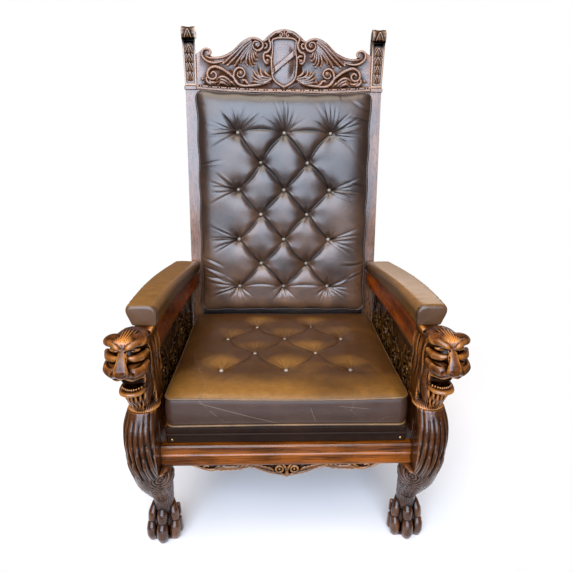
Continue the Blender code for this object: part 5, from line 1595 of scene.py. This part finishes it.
def crest_scrolls(clay, side):
    """The lower scrolls with their leaves, and the leaves that fan out from the foot of the shield."""
    strand, knob = carver(clay, side)
    strand([(44, 688), (71, 673), (100, 668), (129, 665), (146, 667), (163, 676), (171, 694), (167, 713),
            (154, 723), (139, 718), (133, 706), (140, 695), (152, 693), (159, 701), (155, 710)],
           [3.4, 4.2, 4.6, 4.6, 4.6, 4.6, 4.6, 4.4, 4.2, 4, 3.8, 3.6, 3.4, 3, 2.6], 5)
    strand([(150, 669), (158, 680), (163, 696), (160, 710), (152, 716)], [0.8, 1.5, 1.5, 1.2, 0.8], 9.8,
           cut=True, blend=0.4)
    knob(146.5, 706, 7, (8.8, 7.5, 8.8))
    strand([(150, 664), (160, 678), (176, 695), (199, 712), (220, 722), (236, 725), (252, 718), (260, 703),
            (255, 689), (242, 685), (231, 692), (231, 703), (240, 709), (247, 703)],
           [3, 4.2, 4.8, 5, 5, 5, 4.8, 4.6, 4.4, 4, 3.6, 3.4, 3.2, 3.4], 5)
    strand([(176, 698), (199, 715), (222, 725), (238, 728)], [0.8, 1.4, 1.6, 0.8], 9, cut=True, blend=0.4)
    for leaf in (((262, 696), (263, 682), (252, 671), (233, 669)),
                 ((254, 684), (250, 676), (238, 674), (226, 677)),
                 ((176, 670), (188, 684), (205, 693), (222, 690), (230, 682)),
                 ((183, 668), (197, 679), (212, 684), (224, 678)),
                 ((192, 667), (204, 673), (215, 675), (222, 669)), ((168, 668), (178, 676), (188, 676))):
        strand(leaf, [3, 4.4, 4.6, 2], (3, 6, 6, 3), blend=0.8)
    knob(276.5, 686, 2, (5, 5, 5))
    strand([(262, 690), (270, 688), (276, 686)], [2, 1.8, 2], 1)
    # leaves that fan out from the foot of the shield
    for leaf in (((41, 694), (56, 701), (64, 709), (66, 717)), ((41, 690), (68, 695), (79, 706), (80, 722)),
                 ((44, 686), (74, 686), (93, 699), (107, 717)),
                 ((48, 682), (76, 680), (96, 688), (110, 698)),
                 ((50, 678), (76, 674), (97, 679), (112, 680)),
                 ((60, 688), (74, 694), (84, 697), (92, 712)),
                 ((112, 668), (124, 674), (132, 683), (142, 684))):
        strand(leaf, [2.6, 4.2, 4.2, 1.8], (4, 6, 5.5, 3), blend=0.8)
    knob(139, 683.5, 5, (5.8, 5, 5))


def crest_moulding(clay):
    """Two beads that sag to the middle, notched in pairs."""
    for lift, radius, out in ((0.0, 0.0046, 0.003), (-0.0075, 0.0042, 0.0045)):
        run = [(x, -out, BEAD_Z + BEAD_RISE * (x / CREST_HALF) ** 2 + lift)
               for x in np.linspace(-CREST_HALF - 0.004, CREST_HALF + 0.004, 13)]
        clay.strand(run, [radius], blend=0.001)
    for k in range(-9, 10):
        for pair in (-1, 1):
            x = 0.0315 * k + 0.0045 * pair
            z = BEAD_Z + BEAD_RISE * (x / CREST_HALF) ** 2
            clay.ball((x, -0.0085, z + 0.001), (0.0026, 0.005, 0.0032), blend=0.0008, cut=True)


def crest_rail():
    """The crest board, carved on its face, as it stands on the leaned back."""
    clay = Clay((-CREST_HALF - 0.002, -0.017, CREST_BOTTOM - 0.002),
                (CREST_HALF + 0.002, CREST_THICK + 0.002, 0.85), 0.0011)
    outline = crest_outline() + [(CREST_HALF + 0.004, CREST_BOTTOM - 0.004)]
    outline += [(-x, z) for x, z in reversed(outline)][:-1]
    clay.board(outline, 0.0, CREST_THICK - 0.001, edge=0.0015)
    crest_shield(clay)
    for side in (-1, 1):
        crest_arch(clay, side)
        crest_shoulder(clay, side)
        crest_acanthus(clay, side)
        crest_scrolls(clay, side)
    # the leaf between the top scrolls, and the point under the shield
    clay.strand([(0, -0.006, 0.843), (0, -0.0085, 0.832), (0, -0.005, 0.82)], [0.0018, 0.0032, 0.0018],
                blend=0.001)
    clay.ball((0, -0.006, 0.6615), (0.007, 0.005, 0.006), blend=0.002)
    crest_moulding(clay)
    clay.clip(0, -CREST_HALF, True)
    clay.clip(0, CREST_HALF, False)
    clay.clip(2, CREST_BOTTOM, True)
    return clay.mesh(CREST_TRIANGLES, LEANED)


show("crest_carved", crest_rail(), CREST_OAK, "carved_oak", "crest_rail")

# --- Side panels ----------------------------------------------------------------------------------

SIDE_RAIL_TOP = 0.352
PANEL_X, PANEL_HALF = 0.3456, 0.0088  # the middle of a side panel, and half its thickness
PANEL_RIM = 0.014  # the width of the frame round its carving
PANEL_TRIANGLES = 42000


def polar(centre, radius, turn):
    return (centre[0] + radius * math.cos(turn), centre[1] + radius * math.sin(turn))


def volute(centre, start_radius, end_radius, start_deg, turns, count=16):
    """Points on a spiral round a centre, from its outer end inward."""
    points = []
    for k in range(count):
        share = k / (count - 1)
        radius = start_radius + (end_radius - start_radius) * share**0.8
        turn = math.radians(start_deg + 360 * turns * share)
        points.append(polar(centre, radius, turn))
    return points


def on_panel(clay, face):
    """A way to lay strands on one face of the panel, by points (x, z)."""
    def strand(points, radii, out, blend=0.001, cut=False):
        run = [(x, face * out, z) for x, z in points]
        clay.strand(run, radii, blend=blend, cut=cut, stretch=(1, 0.8, 1))

    return strand


def rosette(clay, face, centre, turned):
    """A boss with five petals in the eye of a scroll."""
    clay.ball((centre[0], face * 0.005, centre[1]), (0.0125, 0.0045, 0.0125), blend=0.0015)
    for petal in range(5):
        x, z = polar(centre, 0.0085, math.radians(72 * petal + turned))
        clay.ball((x, face * 0.007, z), (0.0048, 0.0026, 0.0048), blend=0.0008)


def panel_leaf(strand, centre, turn, reach, up):
    """A leaf that springs from a scroll's outside, bent over, with a vein and two lobes."""
    bend = turn + 0.55 * up
    body = polar(centre, reach, turn + 0.18 * up)
    leaf = [polar(centre, 0.03, turn), body, polar(centre, 1.34 * reach, bend)]
    strand(leaf, [0.004, 0.0066, 0.0022], 0.0035)
    strand(leaf, [0.0006, 0.0014, 0.0006], 0.0088, blend=0.0005, cut=True)
    for hand in (-1, 1):
        strand([body, polar(body, 0.0125, bend + hand * 0.9)], [0.0042, 0.0024], 0.003)


def side_panel():
    """A board carved on both faces: a frame round a running scroll with curling leaves.

    Modelled lying along x for the chair's left side, then turned.
    """
    front = HEAD_BACK + GAP
    rear = BACK_Y + (SIDE_RAIL_TOP - BACK_Z) * math.tan(LEAN)
    past_post = rear + 0.03
    low, high = SIDE_RAIL_TOP + GAP, ARM_BOTTOM - GAP
    clay = Clay((front - 0.003, -0.0115, low - 0.003), (past_post + 0.003, 0.0115, high + 0.003), 0.0013)
    clay.block((front, -0.003, low), (past_post, 0.003, high), edge=0.0005)
    for x1, z1, x2, z2 in ((front, low, rear, low + PANEL_RIM), (front, high - PANEL_RIM, past_post, high),
                           (front, low, front + PANEL_RIM, high), (rear - PANEL_RIM, low, past_post, high)):
        clay.block((x1, -PANEL_HALF, z1), (x2, PANEL_HALF, z2), edge=0.0015)
    middle = (low + high) / 2
    step = (rear - front) / 4

    for face in (-1, 1):
        strand = on_panel(clay, face)
        for z in (low + PANEL_RIM, high - PANEL_RIM):
            strand([(front + PANEL_RIM, z), (rear - PANEL_RIM, z)], [0.0024], 0.0076)
        for k in range(4):
            up = 1 if k % 2 == 0 else -1
            centre = (front + step * (k + 0.5), middle + up * 0.018)
            curl = volute(centre, 0.06, 0.012, -130 * up, up * 1.35, 20)
            strand(curl, [0.0035, 0.006, 0.0062, 0.0056, 0.0048, 0.0042], 0.0045)
            strand(curl[2:-4], [0.0008, 0.0016, 0.001], 0.0092, blend=0.0005, cut=True)
            rosette(clay, face, centre, 18 * k)
            for j in range(9):
                reach = 0.046 if j % 2 else 0.052
                panel_leaf(strand, centre, math.radians(25 + 40 * j + 10 * k), reach, up)
            # a husk stands in each corner that the scrolls leave
            foot = (front + step * (k + 1.0), middle - up * 0.085)
            for lean in (-0.02, 0.0, 0.02):
                body = (foot[0] + lean * 0.8, foot[1] + up * 0.022)
                tip = (foot[0] + lean * 1.5, foot[1] + up * 0.04)
                strand([foot, body, tip], [0.005, 0.0062, 0.002], 0.0035)
    for axis, at, keep_above in ((0, front, True), (0, past_post, False), (1, -PANEL_HALF, True),
                                 (1, PANEL_HALF, False), (2, low, True), (2, high, False)):
        clay.clip(axis, at, keep_above)
    stand = Matrix(((0, -1, 0, -PANEL_X), (1, 0, 0, 0), (0, 0, 1, 0), (0, 0, 0, 1)))
    return mirrored(clay.mesh(PANEL_TRIANGLES, stand))


both_sides("side_panel", side_panel(), PANEL_OAK, "carved_oak")

# --- Apron and nails ------------------------------------------------------------------------------

APRON_TRIANGLES = 36000
APRON_CARVING = (6.5, 0.8, 0.9)  # how far out, how blended and how flat its strands usually are


def front_apron():
    """The carved drop under the front rail: a pointed centre, two round eyes and leafy scrolls."""
    top, end = RAIL_BOTTOM - GAP, 0.264
    clay = Clay((-end - 0.004, -0.015, 0.228), (end + 0.004, 0.008, top + 0.004), 0.001)
    edge = [(0.0, 0.2325), (0.012, 0.2375), (0.026, 0.243), (0.046, 0.247), (0.062, 0.252), (0.078, 0.259),
            (0.1, 0.2625), (0.125, 0.26), (0.15, 0.262), (0.175, 0.2615), (0.196, 0.256), (0.21, 0.255),
            (0.226, 0.258), (0.24, 0.2685), (end, 0.274)]
    low = [(p[0], p[1]) for p in run_through([(x, z, 0) for x, z in edge], 3)]
    outline = low + [(end, top + 0.004)]
    outline += [(-x, z) for x, z in reversed(outline)][:-1]
    clay.board(outline, -0.005, 0.0065, edge=0.001)

    for side in (-1, 1):
        strand, knob = carver(clay, side, *APRON_CARVING)
        # the round eye: a ring about a hollow with a bead in it
        ring = [polar((20, 259.0), 9.5, math.radians(turn)) for turn in range(0, 361, 30)]
        strand(ring, [3.2], 7.5)
        knob(20, 259, 8, (6, 4, 6), blend=0.6, cut=True)
        knob(20, 259, 6, (3.6, 4.2, 3.6), blend=0.6)
        # the lower edge is a long leaf that leaves the point and rises to the side
        strand([(2, 239), (14, 242), (30, 246), (46, 250), (62, 256), (80, 263), (98, 266)],
               [3, 3.6, 4.2, 4.4, 4, 3.4, 2])
        strand([(12, 241), (32, 245), (52, 251), (74, 260)], [0.6, 1.2, 0.6], 11, blend=0.4, cut=True)
        for k in range(5):
            x, z = 34 + 10.5 * k, 252 + 3.0 * k
            strand([(x, z), (x + 7, z + 7), (x + 14, z + 11), (x + 22, z + 11)], [2.4, 3.6, 3.4, 1.4])
        # an S of leaves that ends in a curl near the leg
        strand([(86, 272), (104, 267), (124, 264), (146, 266), (168, 266), (188, 261), (204, 259),
                (216, 262), (221, 268), (216, 272), (209, 270)],
               [2, 3.2, 4, 4.2, 4.4, 4.4, 4.2, 3.8, 3.4, 3, 2.6])
        strand([(110, 265), (128, 263), (150, 265), (172, 264), (192, 259)], [0.6, 1.2, 0.6], 11, blend=0.4,
               cut=True)
        for k in range(7):
            x = 114 + 12.5 * k
            z = 268 - 0.7 * k if k < 5 else 267
            strand([(x, z - 2), (x - 6, z + 2), (x - 13, z + 4.5)], [3.4, 3.4, 1.2])
            strand([(x + 4, z - 6), (x + 12, z - 8.5), (x + 18, z - 8)], [2.8, 2.8, 1.2], 6)
        strand([(222, 262), (232, 266), (246, 272), (260, 275)], [3, 3.4, 3, 2], 5.5)
    # the drop at the middle, with a husk above it
    strand([(0, 235), (0, 246), (0, 258)], [3.2, 6.2, 3], 7)
    for side in (-1, 1):
        strand, _ = carver(clay, side, *APRON_CARVING)
        strand([(1, 256), (5, 266), (11, 273)], [2.6, 3.6, 1.6], 7.5)
    strand([(0, 238), (0, 254)], [0.6, 1.4], 12.5, blend=0.4, cut=True)
    clay.clip(2, top, False)
    clay.clip(1, 0.0065, False)
    return clay.mesh(APRON_TRIANGLES, Matrix.Translation((0, FRONT + 0.002, 0)))


def nail(at, radius=0.0042):
    """A domed brass nail head that faces the front."""
    rings, sides = 5, 14
    bm = bmesh.new()
    rows = []
    for k in range(rings):
        turn = math.pi / 2 * k / (rings - 1)
        size, out = radius * math.cos(turn) + 0.0002, radius * 0.55 * math.sin(turn)
        circle = [polar((at[0], at[2]), size, 2 * math.pi * j / sides) for j in range(sides)]
        rows.append([bm.verts.new((x, at[1] - out, z)) for x, z in circle])
    for one, two in zip(rows, rows[1:]):
        for j in range(sides):
            m = (j + 1) % sides
            bm.faces.new((one[j], one[m], two[m], two[j]))
    bm.faces.new(rows[-1])
    bm.faces.new(reversed(rows[0]))
    mesh = bpy.data.meshes.new("nail")
    bm.to_mesh(mesh)
    bm.free()
    mesh.shade_smooth()
    return mesh


show("front_apron_carved", front_apron(), APRON_OAK, "carved_oak", "front_apron")
both_sides("deck", nail((0.302, FRONT + 0.0056, 0.3455)), BRASS, None, replace=False, ending="_nail")

# --- Finials --------------------------------------------------------------------------------------

FINIAL_LOW, FINIAL_TOP = 0.664, 0.85
ROLL_Y, ROLL_Z = 0.0133, 0.8285  # the middle of the roll at the top
ROLL_IN, ROLL_OUT = 0.2982, 0.3433
FINIAL_LEAN = -0.006 / (FINIAL_TOP - FINIAL_LOW)  # the finial's face comes forward with its height
FINIAL_TRIANGLES = 12000


def finial_sides(z, inset=0.0):
    """The two edges of the right finial's face at a height, moved in by inset."""
    t = (z - FINIAL_LOW) / (FINIAL_TOP - FINIAL_LOW)
    return 0.2968 + 0.0015 * t + inset, 0.3362 + 0.007 * t - inset


def husk(clay, x, y, z, width, out):
    """A drop under two leaves that spread at their tips."""
    face = y - out
    clay.ball((x, y, z), (width, out, 0.016), blend=0.0008)
    for s in (-1, 1):
        leaf = [(x + s * 0.0006, face + 0.0008, z + 0.013), (x + s * width * 0.5, face + 0.001, z + 0.004),
                (x + s * width * 0.85, face + 0.0026, z - 0.005),
                (x + s * width * 1.1, face + 0.005, z - 0.0125)]
        clay.strand(leaf, [0.0014, 0.0024, 0.0024, 0.0012], blend=0.0005)
        gap = [(x + s * width * 0.22, face, z + 0.003), (x + s * width * 0.42, face + 0.0006, z - 0.005),
               (x + s * width * 0.5, face + 0.003, z - 0.013)]
        clay.groove(gap, [0.0008, 0.0014, 0.0012], blend=0.0005)


def finial_face():
    """The carving on the right finial's face: husks in a sunk panel, under a roll with a drop on it."""
    clay = Clay((0.294, -0.02, FINIAL_LOW - 0.002), (0.348, 0.041, FINIAL_TOP + 0.006), 0.0009)

    def panel(low, high, inset):
        inner_low, outer_low = finial_sides(low, inset)
        inner_high, outer_high = finial_sides(high, inset)
        return [(inner_low, low), (outer_low, low), (outer_high, high), (inner_high, high)]

    clay.board(panel(FINIAL_LOW + 0.0008, 0.816, 0.0), -0.0042, 0.002, edge=0.001)
    clay.board(panel(0.672, 0.804, 0.0062), -0.03, -0.0012, edge=0.0012, blend=0.001, cut=True)
    # the roll, between two raised rims
    for x1, x2, radius in ((0.29, 0.35, 0.022), (0.27, 0.305, 0.0236), (0.3365, 0.37, 0.0236)):
        clay.strand([(x1, ROLL_Y, ROLL_Z), (x2, ROLL_Y, ROLL_Z)], [radius, radius], blend=0.0008, steps=1)
    clay.block((0.2, -1, 0.79), (ROLL_IN, 1, 0.9), edge=0, blend=0, cut=True)
    clay.block((ROLL_OUT, -1, 0.79), (0.4, 1, 0.9), edge=0, blend=0, cut=True)
    # husks, each smaller than the one above, and the drop on the roll
    husks = [(0.778 - 0.028 * k, 0.0, 0.0112 - 0.0014 * k, 0.007) for k in range(4)]
    for z, y, width, out in [(0.824, -0.0073, 0.0106, 0.0078)] + husks:
        husk(clay, sum(finial_sides(z)) / 2 + 0.0004, y, z, width, out)
    # a turn of the scroll on each end of the roll
    turns = [polar((ROLL_Y, ROLL_Z), 0.0165 - 0.0016 * k, 0.7 * k) for k in range(10)]
    for x in (ROLL_IN, ROLL_OUT):
        clay.groove([(x, y, z) for y, z in turns], [0.0014] * 10, blend=0.0006)
    # painted shadow under the roll
    clay.paint_shade((0.28, -0.02, 0.796), (0.36, 0.01, 0.813), 0.26)
    # painted shade on the ground of the sunk panel
    clay.paint_shade((0.303, -0.003, 0.674), (0.333, 0.004, 0.802), 0.1)
    clay.clip(2, FINIAL_LOW + 0.0006, True)
    clay.block((0.2, 0.001, 0.6), (0.5, 1, 0.804), edge=0, blend=0, cut=True)
    forward = Matrix(((1, 0, 0, 0), (0, 1, FINIAL_LEAN, -FINIAL_LEAN * FINIAL_LOW), (0, 0, 1, 0),
                      (0, 0, 0, 1)))
    return clay.mesh(FINIAL_TRIANGLES, LEANED @ forward)


both_sides("finial", finial_face(), FINIAL_OAK, "carved_oak", replace=False)

# --- Kept solids ----------------------------------------------------------------------------------

KEPT = {
    "arm_rail": ARM_OAK,
    "side_rail": ARM_OAK,
    "front_rail": RAIL_OAK,
    "back_post": POST_OAK,
    "back_panel": DARK_OAK,
    "lower_back_rail": DARK_OAK,
    "seat_deck": DECK_PAINTED_SHADE,
}
for node_name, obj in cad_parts.items():
    for start, look in KEPT.items():
        if node_name.startswith(start):
            obj.data.materials.clear()
            obj.data.materials.append(look)

# --- Floor, light and camera ----------------------------------------------------------------------

FLOOR_MIDDLE, FLOOR_RADIUS = (0, 0.55, 0), 1.15


def floor():
    """A round pale floor, as bright as the white round it, so that its edge can't be seen."""
    bm = bmesh.new()
    bmesh.ops.create_circle(bm, cap_ends=True, segments=96, radius=FLOOR_RADIUS,
                             matrix=Matrix.Translation(FLOOR_MIDDLE))
    mesh = bpy.data.meshes.new("floor")
    bm.to_mesh(mesh)
    bm.free()
    obj = bpy.data.objects.new("floor", mesh)
    bpy.context.scene.collection.objects.link(obj)
    look = Shading("pale_floor")
    patches = look.noise(look.coords(), 1.5, 2)
    tone = look.ramp(patches, (0.3, (0.84, 0.84, 0.86)), (0.7, (0.87, 0.87, 0.89)))
    mesh.materials.append(look.finish(Base_Color=tone, Roughness=0.9, Specular_IOR_Level=0.1,
                                       Emission_Color=(1.0, 1.0, 1.0), Emission_Strength=0.07))


def area_light(name, at, towards, size, power, colour=(1, 1, 1)):
    data = bpy.data.lights.new(name, "AREA")
    data.shape = "RECTANGLE"
    data.size, data.size_y = size
    data.energy = power
    data.color = colour
    obj = bpy.data.objects.new(name, data)
    obj.location = at
    obj.rotation_mode = "QUATERNION"
    obj.rotation_quaternion = (Vector(towards) - Vector(at)).to_track_quat("-Z", "Y")
    bpy.context.scene.collection.objects.link(obj)
    return obj


def sun_light(name, towards, strength, angle, colour):
    data = bpy.data.lights.new(name, "SUN")
    data.energy = strength
    data.angle = math.radians(angle)
    data.color = colour
    obj = bpy.data.objects.new(name, data)
    obj.rotation_mode = "QUATERNION"
    obj.rotation_quaternion = Vector(towards).to_track_quat("-Z", "Y")
    bpy.context.scene.collection.objects.link(obj)


def studio():
    """White all round for the eye but dim for the objects, a cool window in front and soft light above."""
    world = bpy.data.worlds.new("studio")
    world.use_nodes = True
    tree = world.node_tree
    seen = tree.nodes.new("ShaderNodeLightPath").outputs["Is Camera Ray"]
    tone = tree.nodes.new("ShaderNodeMix")
    tone.data_type = "RGBA"
    tone.inputs[6].default_value = (0.15, 0.14, 0.14, 1)
    tone.inputs[7].default_value = (1, 1, 1, 1)
    tree.links.new(seen, tone.inputs["Factor"])
    tree.links.new(tone.outputs[2], tree.nodes["Background"].inputs["Color"])
    bpy.context.scene.world = world
    area_light("window", (-0.7, FRONT - 4.3, 2.95), (0, FRONT, 1.0), (5.0, 4.1), 470, (0.68, 0.80, 1.0))
    sun_light("skylight", (0.15, 0.35, -1.0), 2.2, 50, (1.0, 0.90, 0.76))
    area_light("floor_glow", (-0.05, FRONT - 0.86, 0.02), (-0.05, FRONT - 0.1, 0.42), (1.2, 0.13), 2.2,
               (0.62, 0.80, 1.0))
    area_light("far_wall", (1.5, 4.6, 2.2), (0, 0, 0.8), (3.0, 1.6), 30, (1.0, 0.95, 0.9))
    bpy.context.scene.view_settings.view_transform = "Standard"


def camera():
    """Eye level of a standing person, close to the chair and looking a little down."""
    yaw, pitch, roll = math.radians(2.16), math.radians(17.96), math.radians(0.68)
    ahead = Vector((math.sin(yaw) * math.cos(pitch), math.cos(yaw) * math.cos(pitch), -math.sin(pitch)))
    right = Vector((math.cos(yaw), -math.sin(yaw), 0))
    up = right.cross(ahead)
    tilted_right = math.cos(roll) * right + math.sin(roll) * up
    tilted_up = -math.sin(roll) * right + math.cos(roll) * up
    data = bpy.data.cameras.new("camera")
    data.sensor_width = 36.0
    data.lens = 30.81
    data.shift_x = -0.0089
    obj = bpy.data.objects.new("camera", data)
    turn = Matrix((tilted_right, tilted_up, -ahead)).transposed().to_4x4()
    obj.matrix_world = Matrix.Translation((-0.036, FRONT - 1.102, 1.130)) @ turn
    bpy.context.scene.collection.objects.link(obj)
    bpy.context.scene.camera = obj


floor()
studio()
camera()
